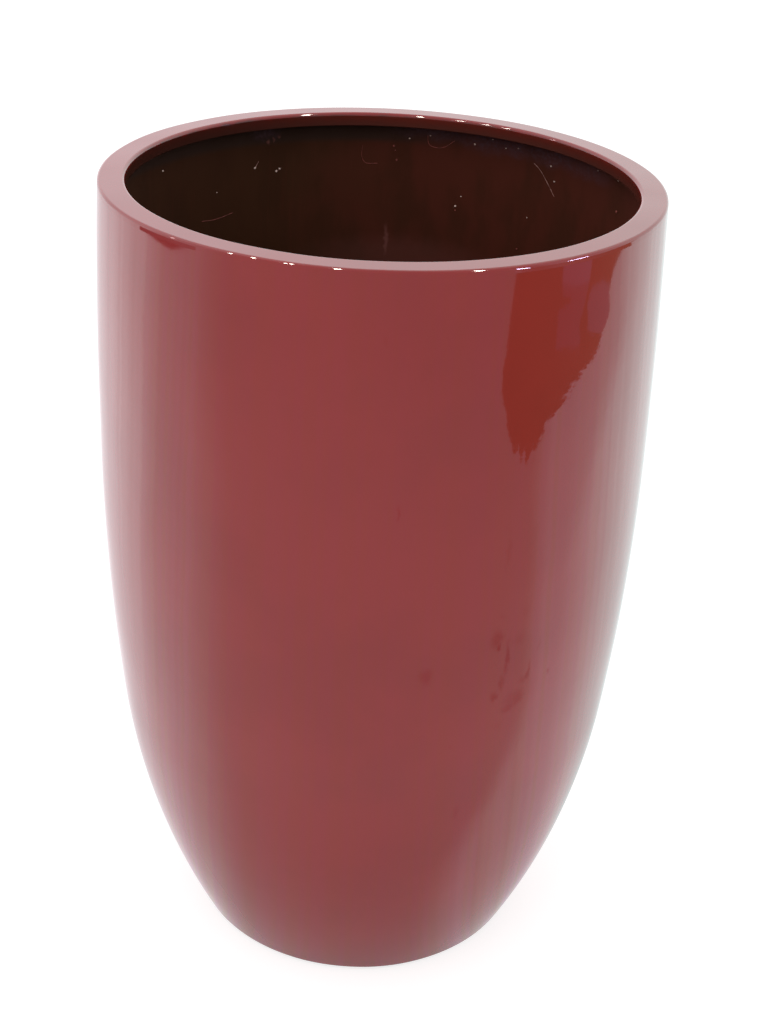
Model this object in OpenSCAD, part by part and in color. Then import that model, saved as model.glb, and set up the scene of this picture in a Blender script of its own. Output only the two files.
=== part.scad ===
// Tall round floor planter: a lacquered glass-fibre pot with a rim that turns in over its mouth.
// Everything is turned about the Z axis. The pot stands on the plane Z = 0 on four rubber pads.

/* [Pot] */
// Height from the floor to the top of the rim
pot_h = 690; // [600:5:800]
// Outer diameter of the rim
rim_d = 450; // [400:2:500]
// How far the belly stands out past the rim
swell = 5.75; // [3:0.25:12]
// Height of the belly, the widest place, above the floor
belly_z = 452; // [400:2:520]
// Diameter of the flat foot, inside its rounded corner
foot_d = 303; // [270:1:330]
// Radius of the long curve that runs down from the belly
flank_rho = 2085; // [1900:5:2400]
// Radius of the tighter curve that runs into the foot
heel_rho = 690; // [600:5:800]
// Radius of the corner between the side and the foot
foot_corner = 3; // [2:0.5:8]
// Thickness of the side
wall = 5; // [4:0.5:7]

/* [Base] */
// Width of the flat ring that the raised panel leaves round the foot
foot_ring = 35; // [30:1:50]
// How far the panel is raised above the foot ring
panel_rise = 4; // [2:0.5:8]
// Width of the slope between the foot ring and the panel
panel_slope = 6; // [3:0.5:12]
// Thickness of the base
base_t = 5; // [4:0.5:8]
// Radius of the fillet between the side and the base, inside
floor_fillet = 14; // [8:1:24]

/* [Drain] */
// Diameter of the drain hole
drain_d = 26; // [20:1:32]
// Width of the boss round the drain hole
boss_w = 18; // [14:1:30]
// Height of the boss above the panel
boss_h = 6; // [3:0.5:10]
// Width of the bevel round the boss
boss_bevel = 4; // [2:0.5:8]

/* [Rim] */
// Width of the rim's flat top, from its outer edge to the mouth
rim_w = 22; // [20:0.5:36]
// Thickness of the rim's flat top
rim_t = 5; // [4:0.5:8]
// Depth of the rim's skirt, from the top of the rim
skirt_h = 12; // [10:0.5:24]
// Thickness of the skirt
skirt_t = 4; // [3:0.5:6]
// Radius of the rim's outer edge
outer_edge = 2.5; // [1:0.5:3.5]
// Radius of the rim's inner edge
inner_edge = 3; // [1:0.5:3.5]
// Radius of the fillet in the angle behind the skirt
rim_fillet = 3; // [1:0.5:5]
// Width and height of the bead of bonding paste under the rim
bead = 7; // [5:0.5:9]

/* [Lining] */
// Thickness of the sealing coat
coat_t = 1; // [0.6:0.1:2]
// How far below the bonding paste the sealing coat stops
coat_gap = 2; // [1:0.5:6]

/* [Plug] */
// Radial clearance between the plug's sealing ribs and the drain hole
plug_clearance = 0.08; // [0.05:0.01:0.1]
// How far the plug's stem reaches below the panel
stem_reach = 2; // [1:0.5:4]
// How far the stem is drawn in behind its sealing ribs
rib_depth = 1; // [0.5:0.25:2]
// Width of a sealing rib
rib_w = 3; // [2:0.5:3.5]
// How far the plug's flange reaches past the drain hole
flange_lap = 7; // [5:0.5:9]
// Thickness of the flange
flange_t = 4; // [3:0.5:6]
// Diameter of the knob
knob_d = 24; // [18:1:28]
// Height of the knob above the flange
knob_h = 16; // [12:1:24]
// Diameter of the knob's neck
neck_d = 13; // [10:1:16]

/* [Pads] */
// Diameter of a pad
pad_d = 26; // [18:1:28]
// Thickness of a pad
pad_t = 3; // [2:0.5:5]
// Width of the bevel round a pad's lower face
pad_bevel = 0.6; // [0.2:0.1:1]

/* [Hidden] */

pad_count = 4;
// Gap left for the bond between curved faces that are glued or brushed on
bond_gap = 0.3;
// Farthest that a straight step in an outline may lie from its true arc
chord_error = 0.03;
$fn = 180;

rim_r = rim_d / 2;
mouth_r = rim_r - rim_w;
seam_z = pot_h - rim_t;
foot_r = foot_d / 2;
foot_z = pad_t;
panel_r = foot_r - foot_ring;
panel_z = foot_z + panel_rise;
drain_r = drain_d / 2;
boss_r = drain_r + boss_w;
boss_z = panel_z + base_t + boss_h;

// The side is a chain of tangent arcs: rim arc, flank arc, heel arc and corner arc.
// An outline drawn in from it keeps the arcs' centres, so a wall is as thick all the way.
belly_r = rim_r + swell;
rim_rho = (pow(pot_h - belly_z, 2) + pow(swell, 2)) / (2 * swell);
rim_centre = [belly_r - rim_rho, belly_z];
flank_centre = [belly_r - flank_rho, belly_z];
corner_centre = [foot_r, foot_z + foot_corner];
heel_centre = crossing(flank_centre, flank_rho - heel_rho, corner_centre, heel_rho - foot_corner);
flank_end = direction(flank_centre, heel_centre);

// Angle of the line from p to q
function direction(p, q) = atan2(q.y - p.y, q.x - p.x);

// The upper crossing of a circle round p with a circle round q
function crossing(p, p_radius, q, q_radius) =
    let (
        gap = norm(q - p),
        along = (pow(p_radius, 2) - pow(q_radius, 2) + pow(gap, 2)) / (2 * gap),
        aside = sqrt(pow(p_radius, 2) - pow(along, 2)),
        unit = (q - p) / gap
    )
    p + along * unit + aside * [-unit.y, unit.x];

// Points along an arc, both ends included
function arc(centre, radius, start, end) =
    let (
        widest = 2 * acos(1 - chord_error / radius),
        steps = ceil(abs(end - start) / widest)
    )
    [
        for (i = [0:steps])
            let (angle = start + (end - start) * i / steps)
            centre + radius * [cos(angle), sin(angle)]
    ];

// A list from its last item to its first
function backwards(list) = [for (i = [len(list) - 1:-1:0]) list[i]];

// Radius of the side at height z on the rim arc, drawn in by inset
function rim_arc_r(inset, z) =
    rim_centre.x + sqrt(pow(rim_rho - inset, 2) - pow(z - belly_z, 2));

// Side drawn in by inset, from a corner of the given radius on a floor at low up to high
function side_outline(inset, corner, low, high) =
    let (
        reach = heel_rho - inset - corner,
        corner_z = low + corner,
        corner_x = heel_centre.x + sqrt(pow(reach, 2) - pow(corner_z - heel_centre.y, 2)),
        heel_end = direction(heel_centre, [corner_x, corner_z]),
        rim_end = asin((high - belly_z) / (rim_rho - inset))
    )
    [
        each arc([corner_x, corner_z], corner, -90, heel_end),
        each arc(heel_centre, heel_rho - inset, heel_end, flank_end),
        each arc(flank_centre, flank_rho - inset, flank_end, 0),
        each arc(rim_centre, rim_rho - inset, 0, rim_end)
    ];

// Upper face of the base at height lift above its underside, from the drain boss out to the
// foot ring, with its slopes moved outwards by clear
function base_outline(lift, clear) =
    let (
        slope_shift = lift * tan(atan2(panel_rise, panel_slope) / 2) + clear,
        bevel_shift = (lift - base_t) * tan(atan2(boss_h, boss_bevel) / 2) + clear,
        panel_top = panel_z + lift
    )
    [
        [0, panel_top + boss_h],
        [boss_r - boss_bevel + bevel_shift, panel_top + boss_h],
        [boss_r + bevel_shift, panel_top],
        [panel_r - panel_slope + slope_shift, panel_top],
        [panel_r + slope_shift, foot_z + lift]
    ];

// Cutter for the hole that the drain plug closes
module drain_hole() {
    translate([0, 0, foot_z])
        cylinder(h = boss_z + coat_t, r = drain_r);
}

// Moulded and lacquered pot: side, foot ring, raised base panel and drain boss in one laminate
module pot_shell() {
    color("#8c3b3c")
        difference() {
            rotate_extrude()
                polygon([
                    [0, panel_z],
                    [panel_r - panel_slope, panel_z],
                    [panel_r, foot_z],
                    each side_outline(0, foot_corner, foot_z, seam_z),
                    each backwards(side_outline(wall, floor_fillet, foot_z + base_t, seam_z)),
                    each backwards(base_outline(base_t, 0))
                ]);
            drain_hole();
        }
}

// Dark sealing coat brushed over the side, the base and the drain boss, inside
module inner_coat() {
    outside = wall + bond_gap;
    inside = outside + coat_t;
    low = foot_z + base_t;
    high = seam_z - bead - coat_gap;
    color("#532d21")
        difference() {
            rotate_extrude()
                polygon([
                    each base_outline(base_t, bond_gap),
                    each side_outline(outside, floor_fillet, low, high),
                    each backwards(side_outline(inside, floor_fillet, low + coat_t, high)),
                    each backwards(base_outline(base_t + coat_t, bond_gap))
                ]);
            drain_hole();
        }
}

// Rim: a flat top that lies on the side's upper edge, and a skirt that hangs in the mouth
module rim_ring() {
    skirt_edge = skirt_t / 4;
    skirt_z = pot_h - skirt_h + skirt_edge;
    skirt_back = mouth_r + skirt_t;
    color("#a0484a")
        rotate_extrude()
            polygon([
                [rim_arc_r(0, seam_z), seam_z],
                each arc([rim_r - outer_edge, pot_h - outer_edge], outer_edge, 0, 90),
                each arc([mouth_r + inner_edge, pot_h - inner_edge], inner_edge, 90, 180),
                each arc([mouth_r + skirt_edge, skirt_z], skirt_edge, 180, 270),
                each arc([skirt_back - skirt_edge, skirt_z], skirt_edge, 270, 360),
                each arc([skirt_back + rim_fillet, seam_z - rim_fillet], rim_fillet, 180, 90)
            ]);
}

// Bonding paste, run as a hollow bead into the angle between the side and the rim
module rim_bond() {
    face = wall + bond_gap;
    bead_z = seam_z - bead;
    color("#6b5a50")
        rotate_extrude()
            polygon([
                [rim_arc_r(face, seam_z), seam_z],
                each arc([rim_arc_r(face, bead_z) - bead, bead_z], bead, 90, 0)
            ]);
}

// Sealing rib on the plug's stem, centred at height z
function rib_outline(stem_r, rib_r, z) = [
    [stem_r, z - rib_w / 2],
    [rib_r, z - rib_w / 4],
    [rib_r, z + rib_w / 4],
    [stem_r, z + rib_w / 2]
];

// Rubber plug: a ribbed stem in the drain hole, a flange on the coat and a knob to pull it by
module drain_plug() {
    seat_z = boss_z + coat_t;
    tip_z = panel_z - stem_reach;
    rib_r = drain_r - plug_clearance;
    stem_r = rib_r - rib_depth;
    flange_r = drain_r + flange_lap;
    flange_z = seat_z + flange_t;
    flange_edge = flange_t / 2;
    knob_r = knob_d / 2;
    knob_z = flange_z + knob_h;
    knob_edge = knob_h / 4;
    color("#23211f")
        rotate_extrude()
            polygon([
                [0, tip_z],
                [stem_r - stem_reach, tip_z],
                [stem_r, panel_z],
                each rib_outline(stem_r, rib_r, panel_z + rib_w),
                each rib_outline(stem_r, rib_r, seat_z - rib_w),
                [stem_r, seat_z],
                [flange_r, seat_z],
                each arc([flange_r - flange_edge, flange_z - flange_edge], flange_edge, 0, 90),
                [neck_d / 2, flange_z],
                [neck_d / 2, knob_z - 3 * knob_edge],
                each arc([knob_r - knob_edge, knob_z - knob_edge], knob_edge, -60, 90),
                [0, knob_z]
            ]);
}

// Rubber pad number i, in the middle of the foot ring
module foot_pad(i) {
    color("#2c2b2a")
        rotate([0, 0, 360 / pad_count * (i - 0.5)])
            translate([foot_r - foot_ring / 2, 0, 0]) {
                cylinder(h = pad_bevel, r1 = pad_d / 2 - pad_bevel, r2 = pad_d / 2);
                translate([0, 0, pad_bevel])
                    cylinder(h = pad_t - pad_bevel, r = pad_d / 2);
            }
}

pot_shell();
inner_coat();
rim_ring();
rim_bond();
drain_plug();
for (i = [1:pad_count])
    foot_pad(i);
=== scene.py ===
"""Tall round floor planter in red lacquer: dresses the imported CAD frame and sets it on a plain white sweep.

All lengths are in metres, in the frame of the CAD model: the pot's axis is Z and it stands on Z = 0.
"""

import logging
import math
from collections.abc import Callable, Sequence
from dataclasses import dataclass, field
from enum import Enum
from itertools import chain

import bmesh
import bpy
import numpy as np
from mathutils import Matrix, Vector, noise

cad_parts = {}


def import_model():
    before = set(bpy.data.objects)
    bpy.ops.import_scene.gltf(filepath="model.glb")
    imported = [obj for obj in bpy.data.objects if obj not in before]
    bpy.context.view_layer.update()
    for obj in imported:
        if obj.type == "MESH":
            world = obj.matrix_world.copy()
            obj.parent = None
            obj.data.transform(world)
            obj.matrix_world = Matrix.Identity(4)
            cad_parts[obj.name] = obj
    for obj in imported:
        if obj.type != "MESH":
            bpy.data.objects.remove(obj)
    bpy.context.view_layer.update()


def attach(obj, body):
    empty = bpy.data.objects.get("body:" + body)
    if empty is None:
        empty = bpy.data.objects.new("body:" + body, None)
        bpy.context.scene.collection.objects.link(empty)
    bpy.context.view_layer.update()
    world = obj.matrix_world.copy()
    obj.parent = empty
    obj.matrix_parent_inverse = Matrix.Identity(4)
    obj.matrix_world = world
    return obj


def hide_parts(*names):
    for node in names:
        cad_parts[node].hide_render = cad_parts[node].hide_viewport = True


LOG = logging.getLogger("planter")

Point = tuple[float, float]
Colour = tuple[float, float, float, float]
Relief = Callable[[np.ndarray, np.ndarray, np.ndarray], np.ndarray]
Socket = bpy.types.NodeSocket

# Fewest steps along an arc, steps round a corner, and the share of a straight run that a corner may take
ARC_STEPS = 6
CORNER_STEPS = 6
CORNER_SHARE = 0.45
# Distances that count as nothing, along a profile and from the axis, and the least length to divide by
SAME_POINT = 1e-6
ON_AXIS = 1e-7
LEAST_LENGTH = 1e-9
# Degrees between two faces from which their edge is shaded sharp
SHARP_ANGLE = 42


class Body(Enum):
    """The bodies of the frame that a piece can ride on."""

    POT = "pot"
    PLUG = "plug"


class Slot(Enum):
    """The record's material slots."""

    LACQUER = "red_lacquer"
    COAT = "sealing_coat"
    PASTE = "bonding_paste"
    RUBBER = "black_rubber"


def linear(colour: str) -> Colour:
    """Turn an sRGB hex colour into Blender's linear colour.

    Args:
        colour: Six hex digits after a number sign.

    Returns:
        Linear red, green and blue, and an alpha of 1.
    """
    parts = [int(colour[i : i + 2], 16) / 255 for i in (1, 3, 5)]
    red, green, blue = (p / 12.92 if p <= 0.04045 else ((p + 0.055) / 1.055) ** 2.4 for p in parts)
    return red, green, blue, 1.0


def add_node(
    tree: bpy.types.NodeTree,
    kind: str,
    settings: dict[str, object] | None = None,
    inputs: dict[str | int, object] | None = None,
) -> bpy.types.Node:
    """Add a node with its settings, values and links.

    Args:
        tree: Tree that gets the node.
        kind: Blender's name of the node's type.
        settings: Properties of the node by name.
        inputs: Values of its input sockets, or output sockets to link to them, by name or number.

    Returns:
        The new node.
    """
    node = tree.nodes.new(kind)
    for name, value in (settings or {}).items():
        setattr(node, name, value)
    for key, value in (inputs or {}).items():
        if isinstance(value, Socket):
            tree.links.new(value, node.inputs[key])
        else:
            node.inputs[key].default_value = value
    return node


# Curves and turned meshes


def arc(centre: Point, radius: float, start: float, end: float, step: float) -> list[Point]:
    """Points along an arc, both ends included.

    Args:
        centre: Centre of the arc.
        radius: Its radius.
        start: Angle of the first point, in radians.
        end: Angle of the last point.
        step: Longest step along the arc.

    Returns:
        Points as (radius from the axis, height).
    """
    count = max(ARC_STEPS, math.ceil(abs(end - start) * radius / step))
    angles = (start + (end - start) * i / count for i in range(count + 1))
    return [(centre[0] + radius * math.cos(a), centre[1] + radius * math.sin(a)) for a in angles]


def straight(start: Point, end: Point, step: float, support: float = 0.0004) -> list[Point]:
    """Points along a straight run, with a short step at each end that keeps its shading flat.

    Args:
        start: First point.
        end: Last point.
        step: Longest step between the two short ones.
        support: Length of the short steps.

    Returns:
        Points as (radius from the axis, height).
    """
    length = math.dist(start, end)
    if length < 3 * support:
        return [start, end]
    count = max(1, math.ceil((length - 2 * support) / step))
    inner = [support + (length - 2 * support) * i / count for i in range(count + 1)]
    shares = [0.0, *(place / length for place in inner), 1.0]
    return [(start[0] + (end[0] - start[0]) * s, start[1] + (end[1] - start[1]) * s) for s in shares]


def eased(points: Sequence[Point], radius: float, step: float) -> list[Point]:
    """A line of straight runs whose inner corners are rounded off.

    Args:
        points: Corners of the line.
        radius: How far before and after a corner its rounding starts.
        step: Longest step along the straight runs.

    Returns:
        Points as (radius from the axis, height).
    """
    out: list[Point] = []
    here = points[0]
    for corner, after in zip(points[1:-1], points[2:], strict=True):
        back = min(radius, math.dist(here, corner) * CORNER_SHARE)
        forth = min(radius, math.dist(corner, after) * CORNER_SHARE)
        first = toward(corner, here, back)
        last = toward(corner, after, forth)
        out += straight(here, first, step)
        for i in range(1, CORNER_STEPS):
            s = i / CORNER_STEPS
            weights = (1 - s) ** 2, 2 * s * (1 - s), s**2
            out.append(tuple(sum(w * p[k] for w, p in zip(weights, (first, corner, last))) for k in (0, 1)))
        here = last
    return out + straight(here, points[-1], step)


def toward(start: Point, end: Point, distance: float) -> Point:
    """The point at a distance from start on the way to end."""
    share = distance / math.dist(start, end)
    return start[0] + (end[0] - start[0]) * share, start[1] + (end[1] - start[1]) * share


@dataclass(frozen=True)
class SideCurve:
    """Chain of tangent arcs that the side is turned from: rim arc, flank arc, heel arc and foot corner."""

    height: float = 0.690
    rim_radius: float = 0.225
    swell: float = 0.00575
    belly_height: float = 0.452
    flank_radius: float = 2.085
    heel_radius: float = 0.690
    foot_radius: float = 0.1515
    foot_height: float = 0.003
    foot_corner: float = 0.003

    @property
    def belly_radius(self) -> float:
        """Radius of the widest place."""
        return self.rim_radius + self.swell

    @property
    def rim_arc_radius(self) -> float:
        """Radius of the arc from the belly to the rim."""
        return ((self.height - self.belly_height) ** 2 + self.swell**2) / (2 * self.swell)

    @property
    def rim_centre(self) -> Point:
        """Centre of the arc from the belly to the rim."""
        return self.belly_radius - self.rim_arc_radius, self.belly_height

    @property
    def flank_centre(self) -> Point:
        """Centre of the long arc below the belly."""
        return self.belly_radius - self.flank_radius, self.belly_height

    @property
    def heel_centre(self) -> Point:
        """Centre of the arc into the foot, which touches the flank arc and the foot's corner."""
        p = self.flank_centre
        q = (self.foot_radius, self.foot_height + self.foot_corner)
        p_radius = self.flank_radius - self.heel_radius
        q_radius = self.heel_radius - self.foot_corner
        gap = math.dist(p, q)
        along = (p_radius**2 - q_radius**2 + gap**2) / (2 * gap)
        aside = math.sqrt(p_radius**2 - along**2)
        unit = ((q[0] - p[0]) / gap, (q[1] - p[1]) / gap)
        return p[0] + along * unit[0] - aside * unit[1], p[1] + along * unit[1] + aside * unit[0]

    @property
    def flank_end(self) -> float:
        """Angle at which the flank arc meets the heel arc."""
        flank, heel = self.flank_centre, self.heel_centre
        return math.atan2(heel[1] - flank[1], heel[0] - flank[0])

    def outline(self, inset: float, corner: float, low: float, high: float, step: float) -> list[Point]:
        """The side from its bottom corner up.

        Args:
            inset: How far it is drawn in.
            corner: Radius of the corner at its foot.
            low: Height of the floor that the corner stands on.
            high: Height of its upper end.
            step: Longest step between points.

        Returns:
            Points as (radius from the axis, height).
        """
        heel = self.heel_centre
        corner_z = low + corner
        reach = self.heel_radius - inset - corner
        corner_x = heel[0] + math.sqrt(reach**2 - (corner_z - heel[1]) ** 2)
        heel_end = math.atan2(corner_z - heel[1], corner_x - heel[0])
        rim_end = math.asin((high - self.belly_height) / (self.rim_arc_radius - inset))
        return [
            *arc((corner_x, corner_z), corner, -math.pi / 2, heel_end, step),
            *arc(heel, self.heel_radius - inset, heel_end, self.flank_end, step),
            *arc(self.flank_centre, self.flank_radius - inset, self.flank_end, 0.0, step),
            *arc(self.rim_centre, self.rim_arc_radius - inset, 0.0, rim_end, step),
        ]

    def radius_at(self, height: float, inset: float = 0.0) -> float:
        """Radius of the side at a height, drawn in by inset."""
        if height >= self.belly_height:
            centre, radius = self.rim_centre, self.rim_arc_radius
        elif height >= self.flank_centre[1] + self.flank_radius * math.sin(self.flank_end):
            centre, radius = self.flank_centre, self.flank_radius
        else:
            centre, radius = self.heel_centre, self.heel_radius
        return centre[0] + math.sqrt((radius - inset) ** 2 - (height - centre[1]) ** 2)

    def place(self, azimuth: float, height: float, inset: float = 0.0) -> Vector:
        """A point of the side.

        Args:
            azimuth: Degrees round from the front, -Y, towards +X.
            height: Height above the floor.
            inset: How far the side is drawn in.

        Returns:
            The point in the frame.
        """
        turn = math.radians(azimuth)
        radius = self.radius_at(height, inset)
        return Vector((radius * math.sin(turn), -radius * math.cos(turn), height))


@dataclass
class Profile:
    """Closed outline of a turned piece, run up its outside and down its inside."""

    points: list[Point] = field(default_factory=list)
    finishes: list[int] = field(default_factory=list)
    reliefs: list[float] = field(default_factory=list)

    def run(self, points: Sequence[Point], finish: int = 0, relief: float = 1.0) -> "Profile":
        """Carry the outline on.

        Args:
            points: Next points, of which one that repeats the last is left out.
            finish: Number of the finish on the strip that starts at each of them.
            relief: Share of the piece's relief that these points take.

        Returns:
            This profile, so that runs can be chained.
        """
        for point in points:
            if self.points and math.dist(point, self.points[-1]) < SAME_POINT:
                continue
            self.points.append(point)
            self.finishes.append(finish)
            self.reliefs.append(relief)
        return self


@dataclass(frozen=True)
class Ripple:
    """Smooth unevenness that closes on itself round the axis: a seeded sum of waves."""

    seed: int
    height: float
    most_round: int
    most_along: float
    count: int = 14

    def at(self, angle: np.ndarray, radius: np.ndarray, height: np.ndarray) -> np.ndarray:
        """The unevenness, from -height to +height.

        Args:
            angle: Angle round the axis.
            radius: Distance from the axis.
            height: Height above the floor.

        Returns:
            Rise above the even surface.
        """
        chance = np.random.default_rng(self.seed)
        total = np.zeros(np.broadcast_shapes(angle.shape, radius.shape))
        for _ in range(self.count):
            turns = int(chance.integers(0, self.most_round + 1))
            climb = chance.uniform(-1, 1) * self.most_along
            phase = chance.uniform(0, 2 * math.pi)
            total = total + np.sin(turns * angle + climb * (height - radius) + phase)
        return self.height * np.tanh(total / math.sqrt(self.count))


def turned(
    name: str,
    profile: Profile,
    steps: int,
    finishes: Sequence[bpy.types.Material],
    relief: Relief | None = None,
    centre: Point = (0.0, 0.0),
) -> bpy.types.Object:
    """Turn a profile round an upright axis.

    Args:
        name: Name of the piece.
        profile: Its outline. Points on the axis are merged.
        steps: Number of steps round the axis.
        finishes: Materials by the profile's finish numbers.
        relief: Rise of the surface along its outward normal, from angle, radius and height.
        centre: Where the axis stands.

    Returns:
        The closed piece.
    """
    ring = np.array(profile.points)
    rows = len(ring)
    angle = np.linspace(0, 2 * math.pi, steps, endpoint=False)[:, None]
    # A point's normal comes from neighbours that share its relief, so a sharp corner moves straight out.
    shares = np.array(profile.reliefs)
    raised = (shares > 0).astype(float)[:, None]
    ahead = np.roll(ring, -1, axis=0) - ring
    ahead /= np.linalg.norm(ahead, axis=1, keepdims=True)
    tangent = np.roll(raised, -1, axis=0) * ahead + np.roll(raised, 1, axis=0) * np.roll(ahead, 1, axis=0)
    tangent /= np.maximum(np.linalg.norm(tangent, axis=1, keepdims=True), LEAST_LENGTH)
    radius, height = ring[None, :, 0], ring[None, :, 1]
    rise = np.zeros((steps, rows))
    if relief is not None:
        rise = relief(angle, radius, height) * shares[None, :]
    out = np.maximum(radius + tangent[None, :, 1] * rise, 0.0)
    up = height - tangent[None, :, 0] * rise
    places = np.stack((centre[0] + out * np.cos(angle), centre[1] + out * np.sin(angle), up), axis=2)
    i, j = np.meshgrid(np.arange(steps), np.arange(rows), indexing="ij")
    far_i, far_j = (i + 1) % steps, (j + 1) % rows
    faces = np.stack((i * rows + j, far_i * rows + j, far_i * rows + far_j, i * rows + far_j), axis=2)
    mesh = bpy.data.meshes.new(name)
    mesh.from_pydata(places.reshape(-1, 3).tolist(), [], faces.reshape(-1, 4).tolist())
    mesh.polygons.foreach_set("material_index", np.tile(np.array(profile.finishes, np.int32), steps))
    if ring[0, 0] < ON_AXIS:
        merge(mesh)
    return finished(name, mesh, finishes)


def merge(mesh: bpy.types.Mesh) -> None:
    """Merge the points that lie together on the axis."""
    work = bmesh.new()
    work.from_mesh(mesh)
    bmesh.ops.remove_doubles(work, verts=work.verts, dist=ON_AXIS)
    bmesh.ops.dissolve_degenerate(work, edges=work.edges, dist=ON_AXIS / 10)
    work.to_mesh(mesh)
    work.free()


def finished(name: str, mesh: bpy.types.Mesh, finishes: Sequence[bpy.types.Material]) -> bpy.types.Object:
    """Put a mesh into the scene, smooth but for its sharp corners.

    Args:
        name: Name of the piece.
        mesh: Its mesh.
        finishes: Its materials.

    Returns:
        The piece.
    """
    for finish in finishes:
        mesh.materials.append(finish)
    mesh.shade_smooth()
    mesh.set_sharp_from_angle(angle=math.radians(SHARP_ANGLE))
    piece = bpy.data.objects.new(name, mesh)
    bpy.context.scene.collection.objects.link(piece)
    return piece


def settle(piece: bpy.types.Object, body: Body, slot: Slot, *nodes: str) -> bpy.types.Object:
    """Tie a piece to the frame.

    Args:
        piece: The piece, in place.
        body: The body it rides on.
        slot: A material slot of the record; not used.
        nodes: The CAD nodes it stands for.

    Returns:
        The piece.
    """
    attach(piece, body.value)
    if nodes:
        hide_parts(*nodes)
    return piece


@dataclass
class Heap:
    """Many small closed shapes gathered into one mesh."""

    places: list[Vector] = field(default_factory=list)
    faces: list[tuple[int, ...]] = field(default_factory=list)
    # Sides of a strand, and the share of its thickness that it keeps at its tips
    sides: int = 6
    tip: float = 0.35
    # How far a grain's surface wanders, how close together its bumps are, and how flat it is pressed
    wander: float = 0.5
    bumps: float = 2.3
    flatness: float = 0.45

    def tube(self, path: Sequence[Vector], facing: Sequence[Vector], thickness: float) -> None:
        """Add a thin strand with tapered ends.

        Args:
            path: Points along its middle.
            facing: Directions out of the surface that it lies on.
            thickness: Its diameter.
        """
        sides = self.sides
        base = len(self.places)
        last = len(path) - 1
        for i, (point, out) in enumerate(zip(path, facing, strict=True)):
            along = (path[min(i + 1, last)] - path[max(i - 1, 0)]).normalized()
            aside = along.cross(out).normalized()
            taper = self.tip if i in (0, last) else 1.0
            for k in range(sides):
                turn = 2 * math.pi * k / sides
                ray = out * math.cos(turn) + aside * math.sin(turn)
                self.places.append(point + ray * (thickness / 2 * taper))
        for i in range(last):
            for k in range(sides):
                a, b = base + i * sides + k, base + i * sides + (k + 1) % sides
                self.faces.append((a, b, b + sides, a + sides))
        self.faces.append(tuple(base + k for k in reversed(range(sides))))
        self.faces.append(tuple(base + last * sides + k for k in range(sides)))

    def grain(self, centre: Vector, out: Vector, size: float, seed: int) -> None:
        """Add a lump of grit, flattened against the surface that holds it.

        Args:
            centre: Its middle.
            out: Direction out of that surface.
            size: Its width.
            seed: Seed of its shape.
        """
        base = len(self.places)
        ball = bmesh.new()
        bmesh.ops.create_icosphere(ball, subdivisions=2, radius=0.5)
        corner = Vector((seed, 0.3 * seed, 1.7))
        for vert in ball.verts:
            ray = vert.co * (1 + self.wander * noise.noise(vert.co * self.bumps + corner))
            ray -= out * (ray.dot(out) * self.flatness)
            self.places.append(centre + ray * size)
        self.faces += [tuple(base + v.index for v in face.verts) for face in ball.faces]
        ball.free()

    def build(self, name: str, finish: bpy.types.Material) -> bpy.types.Object:
        """Make the piece, with its faces turned outwards."""
        mesh = bpy.data.meshes.new(name)
        mesh.from_pydata(self.places, [], self.faces)
        work = bmesh.new()
        work.from_mesh(mesh)
        bmesh.ops.recalc_face_normals(work, faces=work.faces)
        work.to_mesh(mesh)
        work.free()
        return finished(name, mesh, [finish])


# Finishes


@dataclass(frozen=True)
class Mark:
    """A soft mark on the side: a smear, a stain or a patch of dust."""

    azimuth: float
    height: float
    half_width: float
    half_height: float
    strength: float


class Step(Enum):
    """Steps of patterns and light: node type, settings, input sockets in order, and output socket."""

    ADD = ("ShaderNodeMath", {"operation": "ADD"}, (0, 1), 0)
    SUBTRACT = ("ShaderNodeMath", {"operation": "SUBTRACT"}, (0, 1), 0)
    MULTIPLY = ("ShaderNodeMath", {"operation": "MULTIPLY"}, (0, 1), 0)
    DIVIDE = ("ShaderNodeMath", {"operation": "DIVIDE"}, (0, 1), 0)
    LEAST = ("ShaderNodeMath", {"operation": "MINIMUM"}, (0, 1), 0)
    GREATEST = ("ShaderNodeMath", {"operation": "MAXIMUM"}, (0, 1), 0)
    # Turns a span of a value smoothly into another span. Beyond its ends the value stays.
    RANGE = (
        "ShaderNodeMapRange",
        {"interpolation_type": "SMOOTHSTEP"},
        ("Value", "From Min", "From Max", "To Min", "To Max"),
        "Result",
    )
    # Mixes two colours by a share of the second
    MIX = ("ShaderNodeMix", {"data_type": "RGBA"}, (0, 6, 7), 2)
    MOVE = ("ShaderNodeVectorMath", {"operation": "ADD"}, (0, 1), 0)
    AWAY = ("ShaderNodeVectorMath", {"operation": "SUBTRACT"}, (0, 1), 0)
    STRETCH = ("ShaderNodeVectorMath", {"operation": "MULTIPLY"}, (0, 1), 0)
    SCALE = ("ShaderNodeVectorMath", {"operation": "SCALE"}, (0, "Scale"), 0)
    LENGTH = ("ShaderNodeVectorMath", {"operation": "LENGTH"}, (0,), "Value")
    DIRECTION = ("ShaderNodeVectorMath", {"operation": "NORMALIZE"}, (0,), 0)
    EMIT = ("ShaderNodeEmission", {}, ("Color", "Strength"), 0)
    SCATTER = ("ShaderNodeBsdfDiffuse", {}, ("Color",), 0)
    SURROUND = ("ShaderNodeBackground", {}, ("Color", "Strength"), 0)
    ADD_LIGHT = ("ShaderNodeAddShader", {}, (0, 1), 0)
    # Mixes two kinds of light by a share of the second
    MIX_LIGHT = ("ShaderNodeMixShader", {}, (0, 1, 2), 0)


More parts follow.
